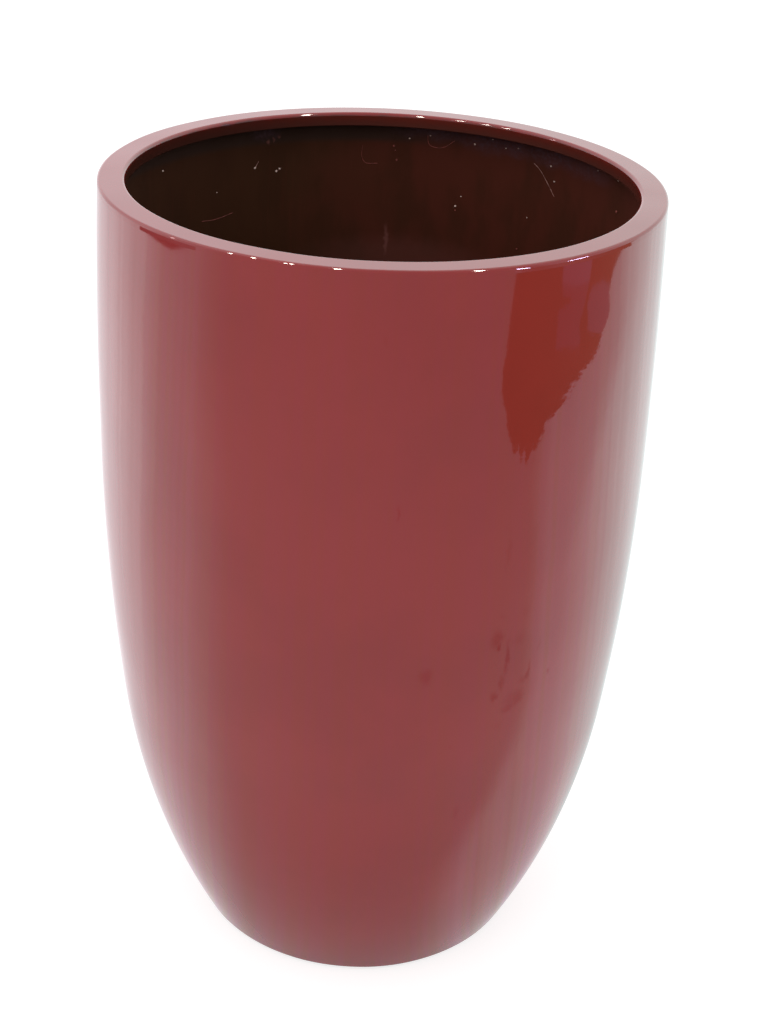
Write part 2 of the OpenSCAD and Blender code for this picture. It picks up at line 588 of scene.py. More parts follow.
class Nodes:
    """A node tree and the steps that its patterns are worked out in."""

    def __init__(self, tree: bpy.types.NodeTree) -> None:
        """Start on a tree."""
        self.tree = tree

    def add(
        self,
        kind: str,
        settings: dict[str, object] | None = None,
        inputs: dict[str | int, object] | None = None,
    ) -> bpy.types.Node:
        """Add a node to this tree, as add_node does."""
        return add_node(self.tree, kind, settings, inputs)

    def take(self, step: Step, *values: Socket | float | Sequence[float]) -> Socket:
        """Take a step of a pattern.

        Args:
            step: The step.
            values: What its sockets take, in order. A pair of numbers is a span and fills two of them.

        Returns:
            The result's socket.
        """
        kind, settings, sockets, result = step.value
        pairs = (value if isinstance(value, tuple) and len(value) == 2 else (value,) for value in values)
        inputs = dict(zip(sockets, chain.from_iterable(pairs), strict=True))
        return self.add(kind, settings, inputs).outputs[result]

    def outward(self, place: Socket) -> tuple[Socket, Socket]:
        """The level way from the axis to a place, and its length."""
        flat = self.take(Step.STRETCH, place, (1.0, 1.0, 0.0))
        return flat, self.take(Step.LENGTH, flat)


class Board(Nodes):
    """Node tree of one material, with its shader and the object's own coordinates."""

    def __init__(self, name: str) -> None:
        """Start a material of that name."""
        self.material = bpy.data.materials.new(name)
        self.material.use_nodes = True
        super().__init__(self.material.node_tree)
        self.shader = self.tree.nodes["Principled BSDF"]
        self.place = self.add("ShaderNodeTexCoord").outputs["Object"]

    def cloud(self, period: float, detail: float = 2.0, stretch: Vector | None = None) -> Socket:
        """Cloudy pattern, mostly between 0.3 and 0.7: a span of it chooses how much a finish covers.

        Args:
            period: Usual distance from one patch to the next.
            detail: Number of finer layers.
            stretch: How many times the coordinates are multiplied along each axis.

        Returns:
            The pattern's socket.
        """
        place = self.place if stretch is None else self.take(Step.STRETCH, self.place, stretch)
        inputs = {"Vector": place, "Scale": 1 / period, "Detail": detail}
        return self.add("ShaderNodeTexNoise", inputs=inputs).outputs[0]

    def swell(self, period: float, height: float) -> Socket:
        """Smooth unevenness, as much above the even surface as below it, of a height in metres."""
        return self.take(Step.MULTIPLY, self.take(Step.SUBTRACT, self.cloud(period, 1.0), 0.5), height)

    def marked(self, side: SideCurve, marks: Sequence[Mark], inset: float, ragged: float) -> Socket:
        """Where marks lie on the side, from 0 to their strengths.

        Args:
            side: The side's curve.
            marks: The marks.
            inset: How far the marked surface is drawn in.
            ragged: How far the marks' edges wander.

        Returns:
            The greatest mark's socket.
        """
        inputs = {"Vector": self.place, "Scale": 1 / (4 * ragged), "Detail": 3.0}
        warp = self.add("ShaderNodeTexNoise", inputs=inputs).outputs[1]
        shift = self.take(Step.SCALE, self.take(Step.AWAY, warp, (0.5, 0.5, 0.5)), 4 * ragged)
        place = self.take(Step.MOVE, self.place, shift)
        total: Socket | float = 0.0
        for mark in marks:
            away = self.take(Step.AWAY, place, side.place(mark.azimuth, mark.height, inset))
            shape = (1 / mark.half_width, 1 / mark.half_width, 1 / mark.half_height)
            far = self.take(Step.LENGTH, self.take(Step.STRETCH, away, shape))
            # A mark is full in its middle and fades out a little past its half width.
            full = self.take(Step.RANGE, far, (0.2, 1.2), (mark.strength, 0.0))
            total = self.take(Step.GREATEST, total, full)
        return total

    def bumped(self, relief: Socket) -> None:
        """Raise the surface by a relief in metres, which only the shading sees."""
        bump = self.add("ShaderNodeBump", inputs={"Height": relief, "Distance": 1.0, "Strength": 1.0})
        self.tree.links.new(bump.outputs["Normal"], self.shader.inputs["Normal"])

    def dressed(self, colour: Socket, roughness: Socket, ior: float) -> bpy.types.Material:
        """Set the shader's colour, roughness and IOR.

        Args:
            colour: Socket of the colour.
            roughness: Socket of the roughness.
            ior: Index of refraction.

        Returns:
            The material.
        """
        self.tree.links.new(colour, self.shader.inputs["Base Color"])
        self.tree.links.new(roughness, self.shader.inputs["Roughness"])
        self.shader.inputs["IOR"].default_value = ior
        return self.material


@dataclass(frozen=True)
class PolishedLacquer:
    """Two-pack polyurethane lacquer, sprayed and polished."""

    side: SideCurve
    colour: str = "#901F1D"
    deep: str = "#861B19"
    mark: str = "#6E1614"
    scuffed: str = "#96403A"
    # The skirt's brushed film; its darker foot is partly painted shade, its darker left is painted shade
    dulled: str = "#67271F"
    dulled_foot_with_painted_shade: str = "#582D26"
    painted_shade_on_left: str = "#2E1C17"
    ior: float = 1.5
    # Roughness of the polished face, and what scuffs, brushed coat and marks add to it
    polish: Point = (0.030, 0.060)
    scuff_dullness: float = 0.35
    film_dullness: float = 0.08
    mark_dullness: float = 0.05
    # The mirror's strength from no mark to a full one, a full mark's tint, and how far marks' edges wander
    mark_mirror: Point = (0.5, 0.22)
    mark_tint: float = 0.10
    mark_wander: float = 0.0025
    # Unevenness: mould waves, orange peel and dust nibs, with a nib's radius as a share of their spacing
    wave_period: float = 0.020
    wave_height: float = 0.00009
    peel_period: float = 0.005
    peel_height: float = 0.00002
    nib_spacing: float = 0.026
    nib_size: float = 0.016
    nib_height: float = 0.0002
    # Heights over which the foot's scuffs end and the rim's face turns true
    scuffed_foot: Point = (0.0045, 0.011)
    true_rim: Point = (0.655, 0.676)
    # The skirt's face: radii over which it ends, heights over which it shades, ends above and starts below
    skirt_face: Point = (0.2036, 0.2050)
    skirt_shading: Point = (0.6805, 0.6895)
    skirt_top: Point = (0.6885, 0.6910)
    skirt_foot: Point = (0.660, 0.670)
    # Marks of hands and water, most of them on the front
    marks: tuple[Mark, ...] = (
        Mark(26.7, 0.391, 0.008, 0.012, 0.55),
        Mark(27.4, 0.383, 0.003, 0.005, 0.75),
        Mark(29.4, 0.371, 0.003, 0.024, 0.65),
        Mark(32.0, 0.387, 0.010, 0.008, 0.30),
        Mark(37.3, 0.374, 0.002, 0.008, 0.35),
        Mark(35.2, 0.349, 0.003, 0.015, 0.65),
        Mark(34.0, 0.345, 0.008, 0.006, 0.40),
        Mark(28.7, 0.348, 0.004, 0.009, 0.55),
        Mark(27.4, 0.335, 0.004, 0.008, 0.60),
        Mark(31.9, 0.328, 0.011, 0.014, 0.40),
        Mark(32.9, 0.329, 0.009, 0.011, 0.52),
        Mark(31.0, 0.321, 0.009, 0.006, 0.48),
        Mark(40.7, 0.344, 0.003, 0.004, 0.60),
        Mark(27.2, 0.412, 0.004, 0.003, 0.35),
        Mark(33.0, 0.410, 0.004, 0.008, 0.25),
        Mark(29.3, 0.305, 0.006, 0.006, 0.25),
        Mark(27.5, 0.470, 0.003, 0.026, 0.30),
        Mark(12.4, 0.365, 0.008, 0.011, 0.45),
        Mark(19.1, 0.294, 0.0012, 0.003, 0.90),
        Mark(27.2, 0.270, 0.002, 0.003, 0.45),
        Mark(21.9, 0.220, 0.004, 0.012, 0.35),
        Mark(2.1, 0.283, 0.002, 0.002, 0.35),
        Mark(5.6, 0.506, 0.0016, 0.014, 0.50),
        Mark(2.5, 0.639, 0.0014, 0.008, 0.35),
        Mark(124.0, 0.402, 0.007, 0.010, 0.45),
        Mark(133.0, 0.431, 0.003, 0.017, 0.40),
        Mark(-96.0, 0.512, 0.006, 0.008, 0.40),
        Mark(-141.0, 0.287, 0.004, 0.012, 0.45),
        Mark(-168.0, 0.566, 0.002, 0.018, 0.35),
    )

    def build(self) -> bpy.types.Material:
        """Make the material: a deep, even red under a hard mirror gloss, with slight orange peel and nibs.

        Returns:
            The material.
        """
        board = Board("red_lacquer_sprayed_and_polished")
        parts = board.add("ShaderNodeSeparateXYZ", inputs={0: board.place}).outputs
        height = parts["Z"]
        # Pigment floats a little while the lacquer dries, in patches about 90 mm apart.
        depth = board.take(Step.RANGE, board.cloud(0.09, 3.0), (0.35, 0.70), (0.0, 0.55))
        colour = board.take(Step.MIX, depth, linear(self.colour), linear(self.deep))
        # The skirt's film brings painted shade into the colour.
        skirt, film_with_painted_shade = self.brushed_skirt(board, parts["X"], height)
        colour = board.take(Step.MIX, skirt, colour, film_with_painted_shade)
        # The foot is scuffed where it's set down and dragged.
        flat_patches = board.cloud(0.004, 4.0, Vector((1, 1, 3)))
        grazes = board.take(Step.RANGE, flat_patches, (0.48, 0.62), (0.0, 1.0))
        low = board.take(Step.RANGE, height, self.scuffed_foot, (0.8, 0.0))
        scuff = board.take(Step.MULTIPLY, low, grazes)
        colour = board.take(Step.MIX, scuff, colour, linear(self.scuffed))
        # A mark's film dulls the mirror more than it darkens the red, so the red shows purer through it.
        marks = board.marked(self.side, self.marks, 0.0, self.mark_wander)
        mirror = board.take(Step.RANGE, marks, (0.0, 1.0), self.mark_mirror)
        board.tree.links.new(mirror, board.shader.inputs["Specular IOR Level"])
        tint = board.take(Step.MULTIPLY, marks, self.mark_tint)
        colour = board.take(Step.MIX, tint, colour, linear(self.mark))
        # Dust nibs of 0.7 mm lie far apart: few of their cells' middles meet the surface.
        inputs = {"Vector": board.place, "Scale": 1 / self.nib_spacing}
        middle = board.add("ShaderNodeTexVoronoi", inputs=inputs).outputs["Distance"]
        nibs = board.take(Step.RANGE, middle, (0.0, self.nib_size), (1.0, 0.0))
        colour = board.take(Step.MIX, board.take(Step.MULTIPLY, nibs, 0.6), colour, linear(self.mark))
        # Waves come from the mould. Orange peel of 3 mm is drawn at 5 mm, which is as fine as shows.
        waves = board.swell(self.wave_period, self.wave_height)
        peel = board.swell(self.peel_period, self.peel_height)
        # The rim was flatted and polished by hand, so its edge is true.
        true = board.take(Step.RANGE, height, self.true_rim, (1.0, 0.1))
        uneven = board.take(Step.MULTIPLY, board.take(Step.ADD, waves, peel), true)
        board.bumped(board.take(Step.ADD, uneven, board.take(Step.MULTIPLY, nibs, self.nib_height)))
        worn = board.take(Step.RANGE, board.cloud(0.13, 3.0), (0.30, 0.75), self.polish)
        dullness = (self.scuff_dullness, self.film_dullness, self.mark_dullness)
        for place, rougher in zip((scuff, skirt, marks), dullness, strict=True):
            worn = board.take(Step.ADD, worn, board.take(Step.MULTIPLY, place, rougher))
        return board.dressed(colour, worn, self.ior)

    def brushed_skirt(self, board: Board, x: Socket, height: Socket) -> tuple[Socket, Socket]:
        """Brown coat that was brushed over the skirt in the mouth and dulls it, most towards its foot; its
        colour holds painted shade, darker towards the foot and at the left.

        Args:
            board: Board of the material.
            x: Socket of how far right a place lies.
            height: Socket of its height.

        Returns:
            Sockets of where the coat lies and of its colour, which holds painted shade.
        """
        _, far = board.outward(board.place)
        inward = board.take(Step.RANGE, far, self.skirt_face, (1.0, 0.0))
        # The brush's edge wanders by 4 mm.
        brushed = board.take(Step.ADD, height, board.take(Step.MULTIPLY, board.cloud(0.012, 3.0), 0.004))
        lower = board.take(Step.RANGE, brushed, self.skirt_shading, (1.0, 0.0))
        # Painted shade over real overspray: the film turns darker towards the skirt's foot.
        film_with_painted_shade = board.take(Step.MIX, lower, linear(self.dulled), linear(self.dulled_foot_with_painted_shade))
        # Painted shade: the film is painted darker at the left of the mouth.
        left = board.take(Step.RANGE, x, (-0.18, 0.02), (0.6, 0.0))
        film_with_painted_shade = board.take(Step.MIX, left, film_with_painted_shade, linear(self.painted_shade_on_left))
        below = board.take(Step.RANGE, brushed, self.skirt_top, (1.0, 0.0))
        above = board.take(Step.RANGE, height, self.skirt_foot, (0.0, 1.0))
        skirt = board.take(Step.MULTIPLY, board.take(Step.MULTIPLY, inward, below), above)
        return skirt, film_with_painted_shade


@dataclass(frozen=True)
class BrushedCoat:
    """Bitumen-brown sealing coat, brushed on thin over the laminate."""

    side: SideCurve
    inset: float
    colour: str = "#472815"
    thin: str = "#58271A"
    stroke: str = "#3F2313"
    # Painted shade close under the skirt
    painted_shade_under_skirt: str = "#3C2A22"
    dust: str = "#5C424C"
    run: str = "#84504A"
    ior: float = 1.3
    roughness: Point = (0.72, 0.86)
    # From left to right, where the coat thins out and where its painted shade under the skirt ends, and the
    # heights that painted shade starts at
    thinning: Point = (-0.05, 0.13)
    painted_shade_side: Point = (-0.02, 0.10)
    painted_shade_band: Point = (0.657, 0.664)
    # Heights of the bristles' lines and of the grain, and how far the edges of dust and scuffs wander
    bristle_height: float = 0.00005
    grain_height: float = 0.00003
    dust_wander: float = 0.006
    scuff_wander: float = 0.002
    # Dust has settled under the rim at the right of the back, where the lamps graze it.
    dusty: tuple[Mark, ...] = (
        Mark(168.0, 0.672, 0.045, 0.010, 0.70),
        Mark(152.0, 0.671, 0.055, 0.014, 0.75),
        Mark(138.0, 0.669, 0.045, 0.014, 0.70),
        Mark(126.0, 0.668, 0.035, 0.010, 0.55),
        Mark(-150.0, 0.670, 0.016, 0.007, 0.60),
    )
    # Pale scuffs and a thin run of the coat on the back, as broad and high as they show
    scuffs: tuple[Mark, ...] = (
        Mark(-150.8, 0.661, 0.0018, 0.0035, 0.80),
        Mark(-152.2, 0.664, 0.0014, 0.0040, 0.60),
        Mark(-153.6, 0.666, 0.0020, 0.0028, 0.70),
        Mark(179.4, 0.563, 0.0030, 0.0200, 0.70),
        Mark(176.0, 0.550, 0.1000, 0.0220, 0.22),
        Mark(104.0, 0.610, 0.0030, 0.0060, 0.40),
        Mark(-62.0, 0.540, 0.0025, 0.0150, 0.40),
        Mark(33.0, 0.585, 0.0040, 0.0050, 0.45),
    )

    def build(self) -> bpy.types.Material:
        """Make the material: a dark, dull brown with brush strokes, which turns redder where it lies thin,
        with painted shade close under the skirt.

        Returns:
            The material.
        """
        board = Board("brown_sealing_coat_brushed")
        parts = board.add("ShaderNodeSeparateXYZ", inputs={0: board.place}).outputs
        # The coat thins out towards the right, and the red laminate tints it there.
        patches = board.take(Step.ADD, parts["X"], board.take(Step.MULTIPLY, board.cloud(0.07, 3.0), 0.16))
        thinned = board.take(Step.RANGE, patches, self.thinning, (0.0, 1.0))
        colour = board.take(Step.MIX, thinned, linear(self.colour), linear(self.thin))
        # Strokes of a 60 mm brush run up and down, with bristle lines 4 mm apart.
        strokes = board.cloud(0.035, 3.0, Vector((1, 1, 0.4)))
        bristles = board.cloud(0.004, 2.0, Vector((1, 1, 0.05)))
        stroked = board.take(Step.RANGE, strokes, (0.42, 0.66), (0.0, 0.5))
        colour = board.take(Step.MIX, stroked, colour, linear(self.stroke))
        lined = board.take(Step.RANGE, bristles, (0.55, 0.75), (0.0, 0.2))
        colour = board.take(Step.MIX, lined, colour, linear(self.thin))
        # Painted shade: close under the skirt, which shades the wall there, the coat is painted darker, most
        # towards the left.
        upper = board.take(Step.RANGE, parts["Z"], self.painted_shade_band, (0.0, 1.0))
        left = board.take(Step.RANGE, parts["X"], self.painted_shade_side, (0.85, 0.0))
        colour = board.take(Step.MIX, board.take(Step.MULTIPLY, upper, left), colour, linear(self.painted_shade_under_skirt))
        zone = board.marked(self.side, self.dusty, self.inset, self.dust_wander)
        flecks = board.take(Step.RANGE, board.cloud(0.003, 3.0), (0.40, 0.70), (0.45, 1.0))
        colour = board.take(Step.MIX, board.take(Step.MULTIPLY, zone, flecks), colour, linear(self.dust))
        scuffs = board.marked(self.side, self.scuffs, self.inset, self.scuff_wander)
        colour = board.take(Step.MIX, scuffs, colour, linear(self.run))
        # The bristles' lines and the coat's own grain stand up.
        lines = board.take(Step.MULTIPLY, bristles, self.bristle_height)
        grain = board.take(Step.MULTIPLY, board.cloud(0.0025, 3.0), self.grain_height)
        board.bumped(board.take(Step.ADD, lines, grain))
        return board.dressed(colour, board.take(Step.RANGE, strokes, (0.3, 0.7), self.roughness), self.ior)


@dataclass(frozen=True)
class ChoppedMatLaminate:
    """Polyester laminate of chopped glass strands, laid up by hand and left raw under the foot."""

    resin: str = "#5B2A24"
    resin_shade: str = "#4A211D"
    strand: str = "#9A7468"
    ior: float = 1.54
    roughness: Point = (0.42, 0.65)
    # The strands: ways they lie, in radians, how far apart along themselves, how slender, and their height
    ways: tuple[float, ...] = (0.0, 0.8, 1.7, 2.5)
    spacing: float = 0.022
    slenderness: float = 14.0
    strand_height: float = 0.00015

    def build(self) -> bpy.types.Material:
        """Make the material: dull red-brown resin with a tangle of pale strands in it.

        Returns:
            The material.
        """
        board = Board("chopped_mat_laminate_raw")
        # Strands lie every way, and show as streaks 22 mm long and 1.6 mm apart.
        tangle: Socket | float = 0.0
        for way in self.ways:
            inputs = {"Vector": board.place, "Rotation": (0, 0, way), "Scale": (1, self.slenderness, 1)}
            place = board.add("ShaderNodeMapping", inputs=inputs).outputs[0]
            inputs = {"Vector": place, "Scale": 1 / self.spacing, "Detail": 1.0}
            streaks = board.add("ShaderNodeTexNoise", inputs=inputs).outputs[0]
            strands = board.take(Step.RANGE, streaks, (0.60, 0.68), (0.0, 1.0))
            tangle = board.take(Step.GREATEST, tangle, strands)
        shade = board.take(Step.RANGE, board.cloud(0.03, 3.0), (0.3, 0.7), (0.0, 0.5))
        resin = board.take(Step.MIX, shade, linear(self.resin), linear(self.resin_shade))
        colour = board.take(Step.MIX, board.take(Step.MULTIPLY, tangle, 0.5), resin, linear(self.strand))
        board.bumped(board.take(Step.MULTIPLY, tangle, self.strand_height))
        return board.dressed(colour, board.take(Step.RANGE, tangle, (0.0, 1.0), self.roughness), self.ior)


@dataclass(frozen=True)
class FilledPaste:
    """Polyester bonding paste, run in as a bead and smoothed with a finger."""

    colour: str = "#86776B"
    streak: str = "#6B5C52"
    pit: str = "#3F352F"
    ior: float = 1.53
    roughness: Point = (0.55, 0.75)
    # Distance between pinholes, and how deep they are and how high the streaks stand
    pit_spacing: float = 0.006
    relief: float = 0.0002

    def build(self) -> bpy.types.Material:
        """Make the material: a dull grey-brown with streaks of filler and pinholes.

        Returns:
            The material.
        """
        board = Board("bonding_paste_smoothed")
        streaks = board.cloud(0.012, 4.0, Vector((1, 1, 4)))
        streaked = board.take(Step.RANGE, streaks, (0.35, 0.70), (0.0, 1.0))
        colour = board.take(Step.MIX, streaked, linear(self.colour), linear(self.streak))
        inputs = {"Vector": board.place, "Scale": 1 / self.pit_spacing}
        middle = board.add("ShaderNodeTexVoronoi", inputs=inputs).outputs["Distance"]
        pits = board.take(Step.RANGE, middle, (0.0, 0.12), (1.0, 0.0))
        colour = board.take(Step.MIX, board.take(Step.MULTIPLY, pits, 0.7), colour, linear(self.pit))
        board.bumped(board.take(Step.MULTIPLY, board.take(Step.SUBTRACT, streaks, pits), self.relief))
        return board.dressed(colour, board.take(Step.RANGE, streaks, (0.3, 0.7), self.roughness), self.ior)


@dataclass(frozen=True)
class MouldedRubber:
    """Black EPDM rubber, compression moulded in spark-eroded tools."""

    colour: str = "#262321"
    bloom: str = "#46423E"
    ior: float = 1.52
    roughness: Point = (0.50, 0.66)
    # The tool's spark-eroded grain is 0.2 mm, drawn at 0.7 mm so that it shows.
    grain_period: float = 0.0007
    grain_height: float = 0.00005

    def build(self) -> bpy.types.Material:
        """Make the material: a matt near-black with a fine grain and a grey bloom of wax.

        Returns:
            The material.
        """
        board = Board("black_rubber_moulded")
        bloom = board.take(Step.RANGE, board.cloud(0.011, 4.0), (0.48, 0.78), (0.0, 0.6))
        colour = board.take(Step.MIX, bloom, linear(self.colour), linear(self.bloom))
        grain = board.cloud(self.grain_period, 2.0)
        board.bumped(board.take(Step.MULTIPLY, grain, self.grain_height))
        return board.dressed(colour, board.take(Step.RANGE, grain, (0.3, 0.7), self.roughness), self.ior)


@dataclass(frozen=True)
class LooseGlassStrand:
    """Glass strands and threads of grit that the sealing coat caught as it dried."""

    name: str
    colour: str
    shade: str
    roughness: Point
    ior: float = 1.52
    # Dirt lies in patches 5 mm apart, on a relief of 0.6 mm
    dirt_period: float = 0.005
    grain_period: float = 0.0006
    grain_height: float = 0.00004

    def build(self) -> bpy.types.Material:
        """Make the material: pale, slightly dirty glass or dust, lighter in places.

        Returns:
            The material.
        """
        board = Board(self.name)
        dirt = board.take(Step.RANGE, board.cloud(self.dirt_period, 3.0), (0.35, 0.65), (0.0, 1.0))
        colour = board.take(Step.MIX, dirt, linear(self.colour), linear(self.shade))
        board.bumped(board.take(Step.MULTIPLY, board.cloud(self.grain_period, 2.0), self.grain_height))
        return board.dressed(colour, board.take(Step.RANGE, dirt, (0.0, 1.0), self.roughness), self.ior)


# The planter


@dataclass
class LacqueredPot:
    """Moulded pot: side, foot ring, raised base panel and drain boss in one laminate."""

    side: SideCurve
    lacquer: bpy.types.Material
    laminate: bpy.types.Material
    wall: float = 0.005
    seam: float = 0.685
    foot_ring: float = 0.035
    panel_rise: float = 0.004
    panel_slope: float = 0.006
    base: float = 0.005
    floor_fillet: float = 0.014
    drain: float = 0.013
    boss_width: float = 0.018
    boss_height: float = 0.006
    boss_bevel: float = 0.004
    row: float = 0.0036
    steps: int = 360
    # The mould's own unevenness: long waves, 0.1 mm high
    waves: Ripple = Ripple(seed=4, height=0.00010, most_round=16, most_along=70.0, count=22)

    @property
    def panel_radius(self) -> float:
        """Radius of the raised panel, with its slope."""
        return self.side.foot_radius - self.foot_ring

    @property
    def panel_height(self) -> float:
        """Height of the panel's underside."""
        return self.side.foot_height + self.panel_rise

    def relief(self, angle: np.ndarray, radius: np.ndarray, height: np.ndarray) -> np.ndarray:
        """The waves, laid so that nothing stands out past the even shape."""
        return self.waves.at(angle, radius, height) - self.waves.height

    def base_line(self, lift: float, clear: float, start: float, rounding: float) -> list[Point]:
        """Upper face of the base from the drain hole out to the foot ring.

        Args:
            lift: Height above the base's underside.
            clear: How far its slopes are moved outwards.
            start: Radius it starts at.
            rounding: How far its corners are rounded off.

        Returns:
            Points as (radius from the axis, height).
        """
        slope = lift * math.tan(math.atan2(self.panel_rise, self.panel_slope) / 2) + clear
        bevel = (lift - self.base) * math.tan(math.atan2(self.boss_height, self.boss_bevel) / 2) + clear
        boss = self.drain + self.boss_width
        top = self.panel_height + lift
        corners = [
            (start, top + self.boss_height),
            (boss - self.boss_bevel + bevel, top + self.boss_height),
            (boss + bevel, top),
            (self.panel_radius - self.panel_slope + slope, top),
            (self.panel_radius + slope, self.side.foot_height + lift),
        ]
        return eased(corners, rounding, 0.006)

    def build(self) -> list[bpy.types.Object]:
        """Turn the pot.

        Returns:
            The one piece.
        """
        foot = self.side.foot_height
        outside = self.side.outline(0.0, self.side.foot_corner, foot, self.seam, self.row)
        inside = self.side.outline(self.wall, self.floor_fillet, foot + self.base, self.seam, 0.012)
        below = eased(
            [
                (self.drain, self.panel_height),
                (self.panel_radius - self.panel_slope, self.panel_height),
                (self.panel_radius, foot),
                outside[0],
            ],
            0.0015,
            0.005,
        )
        top = self.base_line(self.base, 0.0, self.drain, 0.0012)
        profile = Profile()
        profile.run(below[:-1], finish=1, relief=0.0)
        profile.run(outside, finish=0, relief=1.0)
        profile.run(straight(outside[-1], inside[-1], 0.003)[1:-1], finish=1, relief=0.0)
        profile.run(inside[::-1], finish=1, relief=0.0)
        profile.run(top[::-1], finish=1, relief=0.0)
        pot = turned("lacquered_pot", profile, self.steps, [self.lacquer, self.laminate], self.relief)
        return [settle(pot, Body.POT, Slot.LACQUER, "pot_shell")]


@dataclass
class LacqueredRim:
    """Rim: a flat top on the side's upper edge, and a short skirt that hangs in the mouth."""

    pot: LacqueredPot
    width: float = 0.022
    thickness: float = 0.005
    skirt: float = 0.012
    skirt_thickness: float = 0.004
    outer_edge: float = 0.0025
    inner_edge: float = 0.003
    fillet: float = 0.003

    @property
    def mouth(self) -> float:
        """Radius of the mouth."""
        return self.pot.side.rim_radius - self.width

    def build(self) -> list[bpy.types.Object]:
        """Turn the rim, with the pot's own waves running on over the seam.

        Returns:
            The one piece.
        """
        side, seam = self.pot.side, self.pot.seam
        top, edge = side.height, self.skirt_thickness / 4
        low, back = top - self.skirt + edge, self.mouth + self.skirt_thickness
        quarter = math.pi / 2
        step = 0.0004
        centre = (side.rim_radius - self.outer_edge, top - self.outer_edge)
        outer = arc(centre, self.outer_edge, 0, quarter, step)
        centre = (self.mouth + self.inner_edge, top - self.inner_edge)
        inner = arc(centre, self.inner_edge, quarter, math.pi, step)
        front = arc((self.mouth + edge, low), edge, math.pi, 3 * quarter, 0.0003)
        rear = arc((back - edge, low), edge, 3 * quarter, 4 * quarter, 0.0003)
        angle = arc((back + self.fillet, seam - self.fillet), self.fillet, math.pi, quarter, 0.0008)
        start = (side.radius_at(seam), seam)
        profile = Profile()
        profile.run(straight(start, outer[0], 0.0012), relief=1.0)
        profile.run(outer)
        profile.run(straight(outer[-1], inner[0], 0.003))
        profile.run(inner)
        profile.run(straight(inner[-1], front[0], 0.003), relief=0.6)
        profile.run(front, relief=0.4)
        profile.run(straight(front[-1], rear[0], 0.001), relief=0.0)
        profile.run(rear, relief=0.0)
        profile.run(straight(rear[-1], angle[0], 0.002), relief=0.0)
        profile.run(angle, relief=0.0)
        profile.run(straight(angle[-1], start, 0.003)[:-1], relief=0.0)
        rim = turned("lacquered_rim", profile, self.pot.steps, [self.pot.lacquer], self.pot.relief)
        return [settle(rim, Body.POT, Slot.LACQUER, "rim_ring")]


